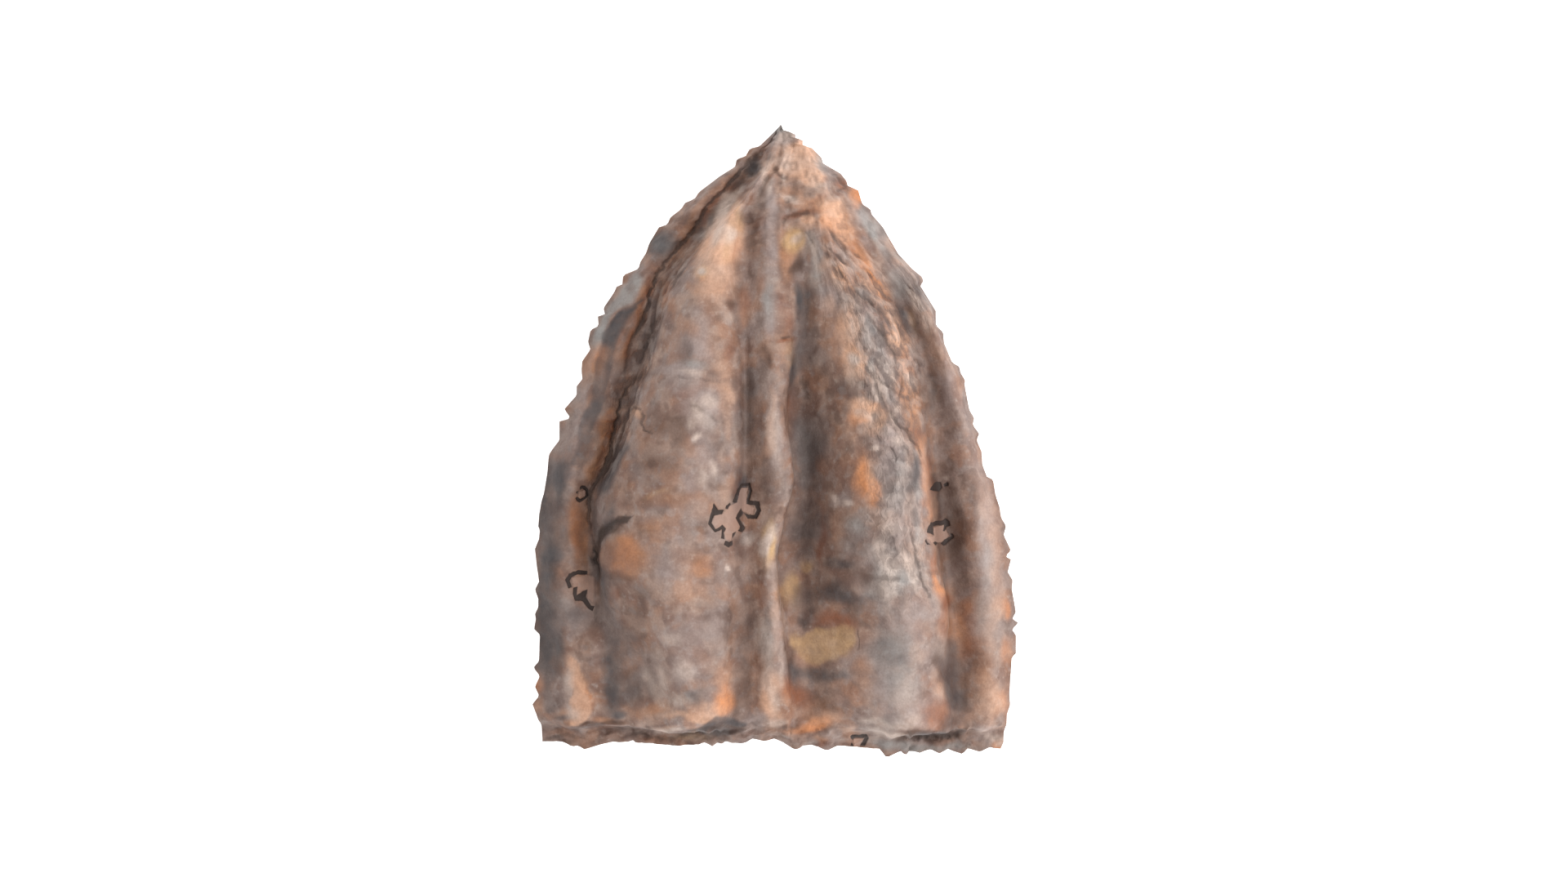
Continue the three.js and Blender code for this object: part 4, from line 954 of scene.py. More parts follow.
        (1120, 353, 10, 9, 0.6, -40), (1114, 388, 7, 20, 0.55, -25), (1141, 391, 5, 9, 0.45, -20),
        (1200, 602, 10, 18, 0.45), (1172, 650, 12, 40, 0.25), (1185, 700, 10, 26, 0.25),
        (1165, 743, 7, 8, 0.3),
        # broken end: painted shadow along the ledge
        (1165, 880, 16, 14, 0.3), (1236, 880, 6, 14, 0.4), (757, 884, 14, 3, 0.7), (875, 885, 26, 5, 0.7),
        (1160, 885, 16, 12, 0.6), (888, 886, 18, 8, 0.8), (720, 890, 18, 4, 0.6), (725, 890, 16, 4, 0.5),
        (885, 890, 20, 6, 0.8), (880, 892, 16, 4, 0.5), (882, 893, 20, 6, 0.7, -10), (783, 898, 14, 4, 0.6),
        (825, 899, 24, 3, 0.3), (1115, 900, 24, 5, 0.5), (1140, 901, 40, 7, 0.7), (687, 906, 14, 4, 0.5),
    ],
    "rust": [
        # tip
        (952, 212, 8, 10, 0.4, 20), (955, 214, 6, 5, 0.3, 20), (1032, 224, 8, 6, 0.6, 30),
        (1030, 228, 7, 5, 0.3, 30), (1010, 241, 9, 7, 0.3), (1010, 242, 8, 6, 0.3),
        # left margin
        (762, 413, 6, 14, 0.45, 20), (735, 434, 8, 16, 0.4, 20), (745, 508, 6, 12, 0.3),
        (745, 538, 6, 34, 0.35, 18), (708, 650, 8, 40, 0.45), (657, 668, 6, 20, 0.3), (717, 858, 7, 14, 0.5),
        # left lobe
        (814, 359, 6, 12, 0.5, 15), (895, 433, 7, 12, 0.45), (840, 482, 18, 9, 0.35),
        (809, 616, 28, 6, 0.15), (810, 623, 22, 4, 0.2), (762, 682, 26, 28, 0.4, 0, 2.6),
        (858, 692, 10, 9, 0.15), (866, 700, 12, 8, 0.3), (750, 727, 9, 11, 0.4),
        # ridge and left furrow
        (936, 345, 6, 14, 0.3), (910, 372, 8, 18, 0.45), (960, 375, 10, 20, 0.4), (970, 395, 7, 12, 0.4),
        (962, 415, 10, 3, 0.5), (966, 416, 11, 2.5, 0.35, 5), (971, 500, 6, 30, 0.4),
        (905, 602, 6, 24, 0.2), (905, 604, 7, 24, 0.3), (932, 735, 7, 32, 0.35), (964, 842, 8, 15, 0.6),
        (975, 850, 10, 12, 0.35), (975, 851, 9, 10, 0.35),
        # right lobe
        (976, 262, 14, 4, 0.3), (983, 262, 22, 5, 0.5), (1028, 336, 10, 12, 0.4, -40),
        (1012, 418, 12, 22, 0.05), (1100, 470, 6, 22, 0.3), (1021, 530, 14, 20, 0.1),
        (1028, 573, 16, 26, 0.2), (1135, 582, 6, 30, 0.25), (1132, 585, 8, 30, 0.15),
        (1141, 590, 4, 40, 0.35, -4), (1076, 598, 4, 12, 0.25), (1007, 660, 4, 44, 0.55),
        (1143, 688, 4, 20, 0.3, -10), (1143, 690, 5, 20, 0.4, -10), (1156, 736, 6, 14, 0.4, -15),
        (1156, 736, 5, 12, 0.3, -15), (1095, 740, 9, 10, 0.3, -40), (1018, 757, 26, 10, 0.7),
        (1040, 765, 12, 10, 0.35), (1155, 765, 6, 24, 0.5), (1040, 850, 18, 14, 0.3),
        (987, 857, 13, 14, 0.4),
        # right margin
        (1078, 291, 5, 14, 0.35, -35), (1112, 326, 12, 6, 0.4, -40), (1183, 758, 10, 20, 0.35),
        (1186, 795, 12, 22, 0.45),
        # broken end
        (1144, 876, 15, 25, 0.6), (735, 888, 22, 4, 0.4), (1008, 912, 12, 5, 0.5),
    ],
    "orange": [
        # tip
        (976, 192, 11, 14, 0.4), (976, 194, 9, 9, 0.3), (1000, 218, 12, 7, 0.6),
        (1045, 236, 8, 10, 0.5, -20), (1046, 240, 8, 12, 0.7, -20), (985, 250, 14, 8, 0.4),
        (1003, 250, 10, 8, 0.3, -40),
        # left margin
        (735, 430, 7, 12, 0.3, 15), (735, 438, 8, 10, 0.35, 20), (660, 837, 8, 11, 0.55),
        (716, 846, 5, 22, 0.6, -15),
        # left lobe
        (900, 306, 9, 10, 0.5), (885, 308, 10, 10, 0.3), (883, 316, 14, 9, 0.6), (860, 334, 6, 6, 0.3),
        (862, 334, 7, 7, 0.3), (860, 335, 7, 7, 0.25), (770, 660, 14, 12, 0.3),
        (768, 676, 17, 19, 0.2, 0, 2.0), (888, 850, 12, 16, 0.5), (884, 860, 13, 12, 0.6),
        # ridge and left furrow
        (972, 291, 7, 8, 0.3), (972, 292, 8, 9, 0.4), (968, 456, 4, 12, 0.35, 15), (971, 725, 10, 12, 0.3),
        (960, 852, 6, 16, 0.3),
        # right lobe
        (1023, 265, 14, 10, 0.4, -45), (1018, 270, 18, 12, 0.55, -45), (1040, 282, 9, 9, 0.3, -40),
        (1028, 288, 10, 10, 0.3, -40), (973, 293, 8, 10, 0.55), (973, 293, 8, 10, 0.4),
        (1062, 330, 7, 12, 0.3, -35), (1077, 352, 5, 9, 0.25, -35), (1030, 436, 22, 14, 0.1),
        (1043, 440, 9, 10, 0.35), (1044, 441, 9, 9, 0.3), (1055, 500, 12, 7, 0.3),
        (1058, 505, 20, 9, 0.6, 15), (1066, 505, 16, 11, 0.9, 20), (1070, 511, 9, 7, 0.5),
        (1045, 512, 12, 9, 0.45), (1131, 543, 6, 12, 0.4), (1052, 583, 9, 26, 0.3, -10),
        (1052, 585, 9, 10, 0.3), (1062, 588, 9, 26, 0.75, -10), (1067, 592, 7, 26, 0.5, -12),
        (1149, 716, 4, 12, 0.5, -20), (1147, 722, 5, 11, 0.35), (1153, 728, 4, 12, 0.3),
        # right margin
        (1101, 320, 4, 9, 0.35, -40), (1185, 745, 9, 12, 0.3), (1233, 748, 7, 12, 0.6),
        (1234, 796, 8, 18, 0.4), (1231, 865, 7, 28, 0.35),
        # broken end
        (1142, 880, 7, 12, 0.2), (997, 887, 18, 8, 0.75), (992, 892, 13, 7, 0.7), (975, 897, 10, 4, 0.4),
        (1222, 911, 10, 7, 0.95), (1224, 912, 7, 5, 0.4),
    ],
    "peach": [
        # tip
        (978, 180, 10, 8, 0.5), (978, 186, 9, 8, 0.4), (975, 190, 12, 10, 0.7), (978, 190, 18, 20, 0.7),
        (978, 192, 10, 10, 0.4), (970, 200, 30, 24, 0.3), (982, 205, 12, 14, 0.5), (985, 205, 20, 16, 0.5),
        (940, 208, 10, 12, 0.5), (962, 212, 4, 4, 0.6), (915, 213, 8, 6, 0.2, -40), (992, 213, 9, 8, 0.5),
        (993, 213, 10, 10, 0.8), (997, 216, 14, 8, 0.7), (1000, 218, 8, 8, 0.35),
        (1002, 246, 7, 6, 0.3, -30), (1008, 246, 10, 8, 0.5, -40), (905, 250, 6, 10, 0.4, 10),
        (1016, 255, 14, 10, 0.5, -45),
        # left margin
        (660, 866, 9, 10, 0.4),
        # left lobe
        (895, 262, 9, 12, 0.6), (895, 278, 9, 12, 0.3), (885, 283, 14, 14, 0.5),
        (872, 288, 12, 22, 0.5, 20), (893, 292, 18, 27, 0.9, 12), (872, 300, 10, 16, 0.4, 20),
        (880, 315, 20, 30, 0.5), (860, 335, 9, 9, 0.5), (809, 345, 6, 10, 0.25, 10),
        (866, 345, 20, 24, 0.55), (895, 345, 14, 20, 0.3), (872, 390, 22, 24, 0.2), (811, 405, 8, 10, 0.2),
        (878, 430, 18, 20, 0.25), (888, 452, 16, 10, 0.25), (897, 485, 5, 14, 0.45), (767, 500, 6, 8, 0.3),
        (890, 500, 7, 44, 0.35), (781, 507, 7, 7, 0.6), (890, 600, 8, 16, 0.3), (840, 680, 20, 20, 0.2),
        (850, 720, 40, 24, 0.25), (888, 828, 14, 10, 0.4), (870, 868, 18, 8, 0.4),
        # ridge and left furrow
        (935, 560, 4, 20, 0.2), (938, 672, 7, 12, 0.4), (948, 745, 8, 44, 0.3), (944, 855, 11, 36, 0.75),
        # right lobe
        (1022, 262, 16, 14, 0.7, -45), (986, 266, 7, 5, 0.4), (988, 266, 8, 5, 0.6), (988, 267, 9, 6, 0.5),
        (985, 275, 14, 7, 0.35), (1030, 275, 12, 10, 0.4, -45), (1033, 288, 12, 10, 0.5, -40),
        (973, 293, 8, 10, 0.5), (1008, 325, 10, 10, 0.4), (1028, 328, 8, 9, 0.5, -30),
        (1024, 331, 7, 6, 0.35, -30), (1030, 345, 14, 14, 0.35, -40), (1062, 346, 5, 11, 0.5, -35),
        (1077, 352, 6, 10, 0.5, -35), (1012, 375, 10, 14, 0.4), (1090, 390, 8, 16, 0.6, -30),
        (1043, 395, 16, 24, 0.5), (1040, 400, 16, 20, 0.5), (1098, 412, 5, 14, 0.4, -15),
        (1104, 420, 7, 18, 0.5, -15), (1094, 424, 7, 12, 0.5, -10), (1044, 440, 11, 12, 0.6),
        (1047, 440, 8, 9, 0.45), (1044, 441, 13, 15, 0.8), (1042, 448, 13, 22, 0.6),
        (1060, 502, 22, 10, 0.6, 15), (1066, 505, 16, 8, 0.6, 15), (1052, 506, 10, 8, 0.35, 20),
        (1062, 507, 24, 11, 0.7, 15), (1071, 512, 10, 7, 0.5), (1072, 520, 12, 12, 0.45),
        (1038, 528, 14, 12, 0.35), (1131, 545, 5, 10, 0.3), (1118, 562, 8, 14, 0.35),
        (1062, 588, 6, 22, 0.5, -6), (1066, 640, 12, 5, 0.25, 15), (1062, 782, 14, 14, 0.25),
        (1150, 845, 9, 11, 0.4),
        # right margin
        (1045, 262, 6, 8, 0.25, -40), (1091, 297, 10, 12, 0.4, -40), (1145, 425, 8, 30, 0.35, -20),
        (1210, 620, 13, 40, 0.3, -10), (1215, 760, 14, 40, 0.25), (1236, 800, 5, 12, 0.2),
        (1211, 854, 16, 36, 0.5),
        # broken end
        (845, 878, 36, 5, 0.5), (1010, 882, 22, 9, 0.4), (820, 892, 18, 3, 0.3), (1036, 893, 12, 4, 0.4),
    ],
    "ochre": [
        # tip
        (888, 252, 6, 12, 0.2, 30),
        # left lobe
        (905, 270, 5, 20, 0.4), (893, 283, 9, 16, 0.35), (885, 305, 8, 14, 0.35), (861, 336, 8, 8, 0.6),
        (812, 603, 14, 3, 0.2, -20), (796, 608, 12, 3, 0.2, -20), (752, 656, 12, 12, 0.15, 20),
        # ridge and left furrow
        (971, 291, 11, 13, 0.9), (968, 435, 8, 18, 0.3), (940, 664, 9, 24, 0.85, 8), (939, 672, 6, 14, 0.5),
        (974, 716, 10, 14, 0.5), (969, 722, 14, 20, 0.6), (974, 783, 8, 10, 0.4),
        # right lobe
        (973, 293, 8, 10, 0.5), (991, 690, 8, 7, 0.6),
        # right margin
        (1120, 395, 5, 14, 0.25, -20),
        # broken end
        (845, 900, 26, 5, 0.4),
    ],
    "slate": [
        # tip
        (945, 196, 5, 9, 0.4), (926, 205, 14, 8, 0.4, 30), (1016, 243, 9, 7, 0.35),
        # left margin
        (850, 262, 20, 8, 0.3, -40), (809, 301, 14, 24, 0.65, 32), (825, 305, 8, 14, 0.4, 35),
        (728, 500, 9, 16, 0.45), (690, 560, 10, 16, 0.3), (697, 568, 8, 20, 0.4), (688, 590, 16, 14, 0.3),
        (690, 598, 7, 20, 0.3), (664, 610, 12, 44, 0.4), (657, 640, 4, 40, 0.3), (690, 640, 8, 40, 0.25),
        (680, 680, 14, 12, 0.5), (668, 700, 8, 34, 0.35), (700, 712, 12, 10, 0.2), (705, 752, 16, 16, 0.45),
        (670, 760, 9, 40, 0.3), (684, 805, 9, 26, 0.4), (675, 862, 14, 14, 0.4),
        # left lobe
        (808, 395, 10, 26, 0.15, 15), (785, 402, 4, 14, 0.3, 12), (840, 432, 15, 16, 0.4),
        (872, 457, 10, 6, 0.3), (800, 500, 12, 24, 0.3), (850, 540, 8, 8, 0.2), (885, 543, 8, 16, 0.3),
        (736, 588, 5, 14, 0.25, 20), (759, 588, 7, 14, 0.25, 10), (800, 592, 22, 6, 0.3),
        (748, 625, 10, 22, 0.35), (740, 712, 9, 14, 0.35), (785, 722, 16, 8, 0.35), (785, 742, 8, 12, 0.25),
        (757, 805, 12, 14, 0.4), (898, 828, 6, 8, 0.3), (797, 842, 5, 24, 0.4, -12),
        (775, 845, 14, 24, 0.4), (748, 850, 14, 40, 0.45), (852, 852, 13, 10, 0.5), (752, 855, 12, 14, 0.25),
        # ridge and left furrow
        (974, 362, 6, 16, 0.6), (970, 458, 4, 8, 0.6), (971, 460, 5, 18, 0.4), (958, 585, 4, 16, 0.25),
        (906, 602, 6, 26, 0.55), (906, 606, 6, 24, 0.35), (900, 618, 9, 30, 0.3), (905, 674, 9, 26, 0.35),
        (914, 745, 10, 26, 0.2), (972, 824, 8, 22, 0.4),
        # right lobe
        (1040, 272, 8, 14, 0.3, -40), (1054, 361, 12, 8, 0.5, 45), (1060, 390, 4, 8, 0.4, -20),
        (1060, 394, 4, 9, 0.5, -20), (1068, 405, 4, 10, 0.4, -20), (1083, 408, 5, 14, 0.4, -25),
        (1062, 440, 5, 10, 0.3), (1042, 473, 22, 12, 0.4), (1036, 500, 6, 8, 0.35), (1055, 536, 10, 6, 0.3),
        (1132, 536, 6, 14, 0.35), (1005, 545, 10, 20, 0.3), (1000, 560, 10, 30, 0.15),
        (1122, 575, 5, 34, 0.45, -4), (1118, 580, 7, 24, 0.4), (1142, 600, 4, 36, 0.3, -6),
        (1010, 640, 12, 30, 0.25), (1050, 665, 22, 18, 0.35), (1025, 693, 20, 10, 0.65),
        (1122, 700, 6, 20, 0.35, -15), (1020, 725, 24, 14, 0.65), (1066, 732, 16, 8, 0.25),
        (1035, 735, 26, 8, 0.3), (1145, 790, 6, 18, 0.3), (1085, 792, 30, 12, 0.3),
        (1095, 808, 16, 7, 0.35), (1006, 826, 42, 11, 0.6), (1166, 850, 10, 26, 0.3),
        # right margin
        (1087, 309, 9, 8, 0.3, 40), (1103, 334, 10, 7, 0.3, 40), (1118, 356, 9, 10, 0.35, -40),
        (1105, 385, 6, 14, 0.5, -25), (1112, 388, 6, 9, 0.3, -30), (1112, 392, 5, 10, 0.35, -30),
        (1138, 482, 7, 28, 0.45, -8), (1174, 835, 7, 26, 0.1),
        # broken end: painted shadow along the ledge
        (760, 877, 10, 6, 0.6), (692, 880, 14, 5, 0.6), (1178, 885, 20, 12, 0.3), (884, 897, 22, 5, 0.4),
        (845, 902, 30, 5, 0.35), (1140, 902, 34, 6, 0.5),
    ],
    "pale": [
        # tip
        (960, 165, 10, 8, 0.35), (957, 167, 12, 8, 0.45), (960, 190, 16, 18, 0.4), (965, 197, 8, 8, 0.35),
        (985, 203, 18, 12, 0.35), (940, 205, 8, 12, 0.4), (963, 212, 4, 4, 0.3), (1000, 220, 10, 8, 0.3),
        (940, 222, 6, 18, 0.4), (943, 222, 6, 14, 0.4), (958, 228, 7, 16, 0.35), (1000, 235, 16, 14, 0.3),
        (930, 240, 7, 14, 0.5), (968, 240, 7, 7, 0.4), (966, 241, 6, 6, 0.3), (968, 243, 8, 8, 0.4),
        (977, 247, 9, 8, 0.4), (888, 252, 7, 13, 0.45, 35),
        # left margin
        (700, 830, 6, 14, 0.35, -10), (698, 845, 7, 18, 0.4),
        # left lobe
        (888, 262, 6, 18, 0.5, 25), (888, 284, 10, 14, 0.35), (875, 286, 6, 14, 0.3, 30),
        (893, 287, 9, 12, 0.5), (876, 290, 7, 14, 0.45, 25), (870, 325, 18, 18, 0.3), (860, 334, 5, 5, 0.4),
        (861, 335, 5, 5, 0.8), (888, 390, 9, 8, 0.4), (846, 456, 16, 4, 0.5), (868, 489, 9, 9, 0.6),
        (855, 505, 7, 14, 0.5, -30), (860, 512, 12, 18, 0.3, -30), (844, 518, 7, 10, 0.4, -20),
        (853, 537, 6, 6, 0.75), (897, 540, 4, 22, 0.3), (885, 560, 5, 14, 0.3), (872, 574, 5, 11, 0.6, -25),
        (858, 588, 9, 13, 0.45), (889, 697, 4, 4, 0.9), (832, 706, 5, 4, 0.5), (824, 783, 14, 9, 0.45),
        (805, 800, 10, 8, 0.3), (838, 821, 14, 14, 0.5), (810, 836, 7, 20, 0.3, -12),
        (808, 838, 5, 22, 0.3, -12), (836, 862, 14, 8, 0.4),
        # ridge and left furrow
        (948, 530, 7, 44, 0.35), (950, 530, 8, 40, 0.08), (942, 652, 7, 12, 0.5, 8), (918, 660, 7, 7, 0.3),
        (921, 661, 8, 8, 0.35), (938, 668, 6, 13, 0.4), (938, 668, 5, 12, 0.3), (938, 670, 6, 14, 0.4),
        (939, 671, 7, 9, 0.75), (945, 700, 5, 20, 0.3), (928, 775, 6, 30, 0.3), (957, 822, 4, 26, 0.4),
        (945, 850, 8, 30, 0.5),
        # right lobe
        (975, 292, 6, 7, 0.25), (973, 293, 7, 9, 0.4), (994, 310, 6, 24, 0.5, -12), (980, 312, 5, 8, 0.3),
        (1035, 370, 8, 9, 0.35), (1008, 372, 8, 10, 0.2), (1049, 376, 6, 8, 0.5), (1040, 400, 8, 14, 0.4),
        (1075, 436, 5, 8, 0.4), (1044, 440, 7, 7, 0.3), (1044, 441, 7, 8, 0.5), (1044, 441, 7, 7, 0.3),
        (1065, 450, 4, 8, 0.6), (1085, 450, 8, 20, 0.4, -25), (1042, 456, 9, 14, 0.45),
        (1075, 463, 5, 16, 0.4, -25), (1089, 466, 4, 8, 0.4, -20), (1116, 468, 4, 12, 0.35, -15),
        (1112, 470, 4, 12, 0.3, -10), (1056, 473, 5, 6, 0.5), (1118, 473, 4, 8, 0.35),
        (1075, 475, 5, 22, 0.5, -20), (1060, 490, 10, 5, 0.25), (1097, 500, 8, 12, 0.4),
        (1050, 505, 8, 6, 0.35), (1062, 505, 13, 6, 0.3, 15), (1074, 510, 6, 5, 0.35),
        (1072, 515, 10, 10, 0.35), (1099, 541, 8, 6, 0.5), (1068, 545, 8, 6, 0.65), (1022, 610, 6, 5, 0.6),
        (1041, 616, 8, 6, 0.7), (1022, 617, 9, 6, 0.35), (1090, 640, 12, 14, 0.35),
        (1078, 665, 11, 24, 0.45), (1076, 668, 12, 6, 0.3, 30), (1024, 690, 4, 4, 0.2),
        (1114, 690, 4, 22, 0.35, -14), (1129, 690, 4, 30, 0.2, -14), (1090, 692, 15, 20, 0.6),
        (1120, 700, 5, 22, 0.15, -20), (1085, 720, 16, 14, 0.45), (1150, 790, 14, 16, 0.35),
        (1105, 850, 16, 20, 0.4),
        # right margin
        (1105, 325, 8, 24, 0.4, -40), (1118, 364, 6, 10, 0.3, -35), (1120, 366, 6, 12, 0.45, -35),
        # the spot at (1158, 585) is a painted highlight
        (1130, 392, 6, 26, 0.35, -22), (1134, 398, 4, 12, 0.25, -20), (1158, 585, 7, 5, 0.4, 20),
        (1202, 650, 10, 22, 0.2),
        # broken end
        (701, 876, 9, 10, 0.5), (1118, 880, 16, 10, 0.4), (1080, 887, 26, 6, 0.45), (948, 890, 12, 5, 0.5),
        (820, 892, 20, 4, 0.5), (1085, 899, 26, 5, 0.5), (1212, 899, 16, 5, 0.5), (1222, 905, 10, 6, 0.5),
        (1224, 911, 8, 5, 0.6),
    ],
}
STREAKS = {
    "lilac": [
        ([(950, 470), (948, 520), (950, 560), (956, 592)], 9, 0.55),
        ([(806, 455), (830, 452), (862, 455)], 5, 0.6),
        ([(952, 290), (946, 330), (944, 380), (944, 430)], 8, 0.35),
        ([(1008, 300), (1020, 340), (1045, 400), (1060, 450)], 8, 0.3),
        ([(712, 465), (712, 500), (702, 535), (695, 562)], 8, 0.45),
        ([(936, 195), (940, 230), (944, 270), (946, 320)], 10, 0.6),
        ([(924, 340), (921, 380), (920, 430)], 7, 0.4),
        ([(862, 262), (850, 240), (838, 262)], 5, 0.2),
    ],
    "ash": [
        ([(990, 285), (1000, 312), (1006, 345)], 9, 0.5),
        ([(1062, 380), (1075, 420), (1086, 460), (1096, 500)], 9, 0.4),
        ([(1128, 650), (1133, 690), (1146, 725)], 4, 0.25),
        ([(795, 335), (782, 352), (770, 372)], 4, 0.2),
        ([(915, 222), (897, 242), (880, 264), (864, 285), (852, 298)], 7, 0.6),
        ([(1048, 248), (1070, 282), (1094, 322)], 8, 0.45),
    ],
    "tan": [
        ([(903, 225), (880, 248), (858, 272), (835, 303), (812, 326)], 5, 0.35),
        ([(1012, 252), (1024, 270), (1041, 296), (1058, 328), (1077, 360), (1094, 392)], 12, 0.4),
        ([(1132, 550), (1138, 600), (1142, 650), (1150, 710)], 7, 0.3),
        ([(748, 500), (741, 540), (731, 575), (720, 600)], 8, 0.7),
        ([(799, 335), (789, 365), (782, 395), (770, 428), (763, 455)], 5, 0.6),
        ([(892, 222), (868, 245), (850, 270), (832, 294)], 6, 0.4),
        ([(1100, 440), (1108, 480), (1116, 520), (1127, 550)], 12, 0.35),
    ],
    "umber": [
        # these two: painted shade down the left furrow
        ([(918, 440), (915, 480), (915, 520), (913, 560)], 15, 0.3),
        ([(913, 700), (911, 750), (910, 800), (908, 860)], 15, 0.25),
        # these two: painted shade down the outer furrow
        ([(1095, 350), (1110, 375), (1122, 400), (1138, 440), (1147, 480), (1152, 520)], 16, 0.3),
        ([(1154, 560), (1157, 600), (1160, 640), (1172, 700)], 18, 0.35),
        ([(1142, 575), (1143, 605), (1145, 640)], 5, 0.5),
        ([(967, 455), (964, 480), (966, 510)], 6, 0.45),
        # painted shade in the crease beside the left lobe, near the tip
        ([(932, 196), (905, 222), (882, 248), (862, 272), (840, 300)], 12, 0.5),
        ([(718, 460), (728, 480), (722, 520), (712, 560)], 7, 0.2),
        # painted shade on the left-facing flank of the left lobe
        ([(813, 340), (801, 370), (797, 400), (789, 430), (780, 455)], 6, 0.4),
        # these two: painted shadow along the ledge at the broken end
        ([(664, 888), (700, 889), (740, 888), (790, 891), (835, 895)], 3.5, 0.45),
        ([(930, 886), (960, 890), (1000, 893), (1030, 896)], 3.5, 0.4),
    ],
    "rust": [
        ([(1124, 345), (1150, 410)], 4, 0.2),
        ([(800, 335), (789, 362), (781, 395), (770, 428), (762, 455)], 4, 0.55),
        ([(748, 505), (744, 532), (737, 560), (724, 590)], 5, 0.45),
        ([(1009, 250), (1020, 266), (1038, 288), (1054, 318), (1075, 348), (1092, 382)], 9, 0.15),
        ([(1116, 520), (1126, 538), (1129, 552)], 6, 0.6),
        ([(905, 222), (885, 242), (868, 258), (856, 278)], 5, 0.5),
        ([(1010, 300), (1025, 320), (1040, 340)], 5, 0.4),
    ],
    "orange": [
        ([(1010, 250), (1020, 266), (1036, 288), (1053, 316), (1071, 346), (1086, 370)], 9, 0.45),
        ([(1094, 388), (1104, 416), (1111, 440), (1113, 465)], 9, 0.35),
        ([(1106, 472), (1108, 500), (1115, 522), (1124, 540)], 6, 0.25),
        ([(1131, 530), (1134, 565), (1136, 600), (1138, 650)], 5, 0.35),
        ([(1138, 650), (1142, 680), (1148, 705)], 4, 0.15),
    ],
    "peach": [
        ([(1131, 535), (1134, 570), (1136, 600), (1138, 640)], 4, 0.15),
        ([(947, 470), (944, 520), (944, 560)], 5, 0.4),
        ([(1212, 640), (1222, 700), (1228, 760)], 9, 0.3),
        ([(1141, 598), (1143, 620), (1144, 646)], 4, 0.35),
    ],
    "slate": [
        # these two: painted shade down the left furrow
        ([(915, 450), (914, 480), (913, 520), (913, 560), (915, 595)], 14, 0.2),
        ([(915, 750), (913, 790), (911, 830)], 12, 0.2),
        # these two: painted shade down the right furrow
        ([(981, 340), (983, 370), (981, 400), (975, 430), (970, 460)], 11, 0.55),
        ([(978, 470), (982, 520), (986, 560), (988, 600), (986, 650), (982, 695)], 22, 0.45),
        # painted shade on the left-facing flank of the left lobe
        ([(800, 385), (797, 420), (786, 455), (773, 500), (758, 545)], 9, 0.25),
        ([(742, 600), (744, 640), (738, 720), (746, 790), (750, 875)], 12, 0.4),
        ([(724, 605), (726, 640), (730, 672)], 5, 0.4),
        ([(1148, 600), (1150, 640)], 8, 0.25),
        # painted shade in the crease beside the left lobe, near the tip
        ([(935, 195), (920, 206), (908, 216)], 8, 0.6),
        # these three: painted shade on the left-facing flank of the left lobe
        ([(808, 385), (805, 410), (798, 435)], 9, 0.25),
        ([(762, 540), (755, 560), (745, 582), (734, 604)], 9, 0.5),
        ([(766, 545), (757, 565), (748, 583), (738, 600)], 7, 0.5),
    ],
    "pale": [
        # painted highlight beside the foot of the right lobe
        ([(1114, 655), (1120, 680), (1128, 705), (1142, 732)], 4, 0.15),
        ([(936, 740), (936, 790), (938, 845)], 6, 0.4),
        ([(1088, 500), (1108, 540), (1116, 580)], 3, 0.3),
        ([(790, 812), (797, 840), (812, 868)], 5, 0.4),
        # painted highlight beside the foot of the right lobe
        ([(1104, 665), (1109, 690), (1119, 712), (1133, 730)], 4, 0.4),
        ([(910, 230), (893, 248), (877, 268)], 4, 0.3),
    ],
}
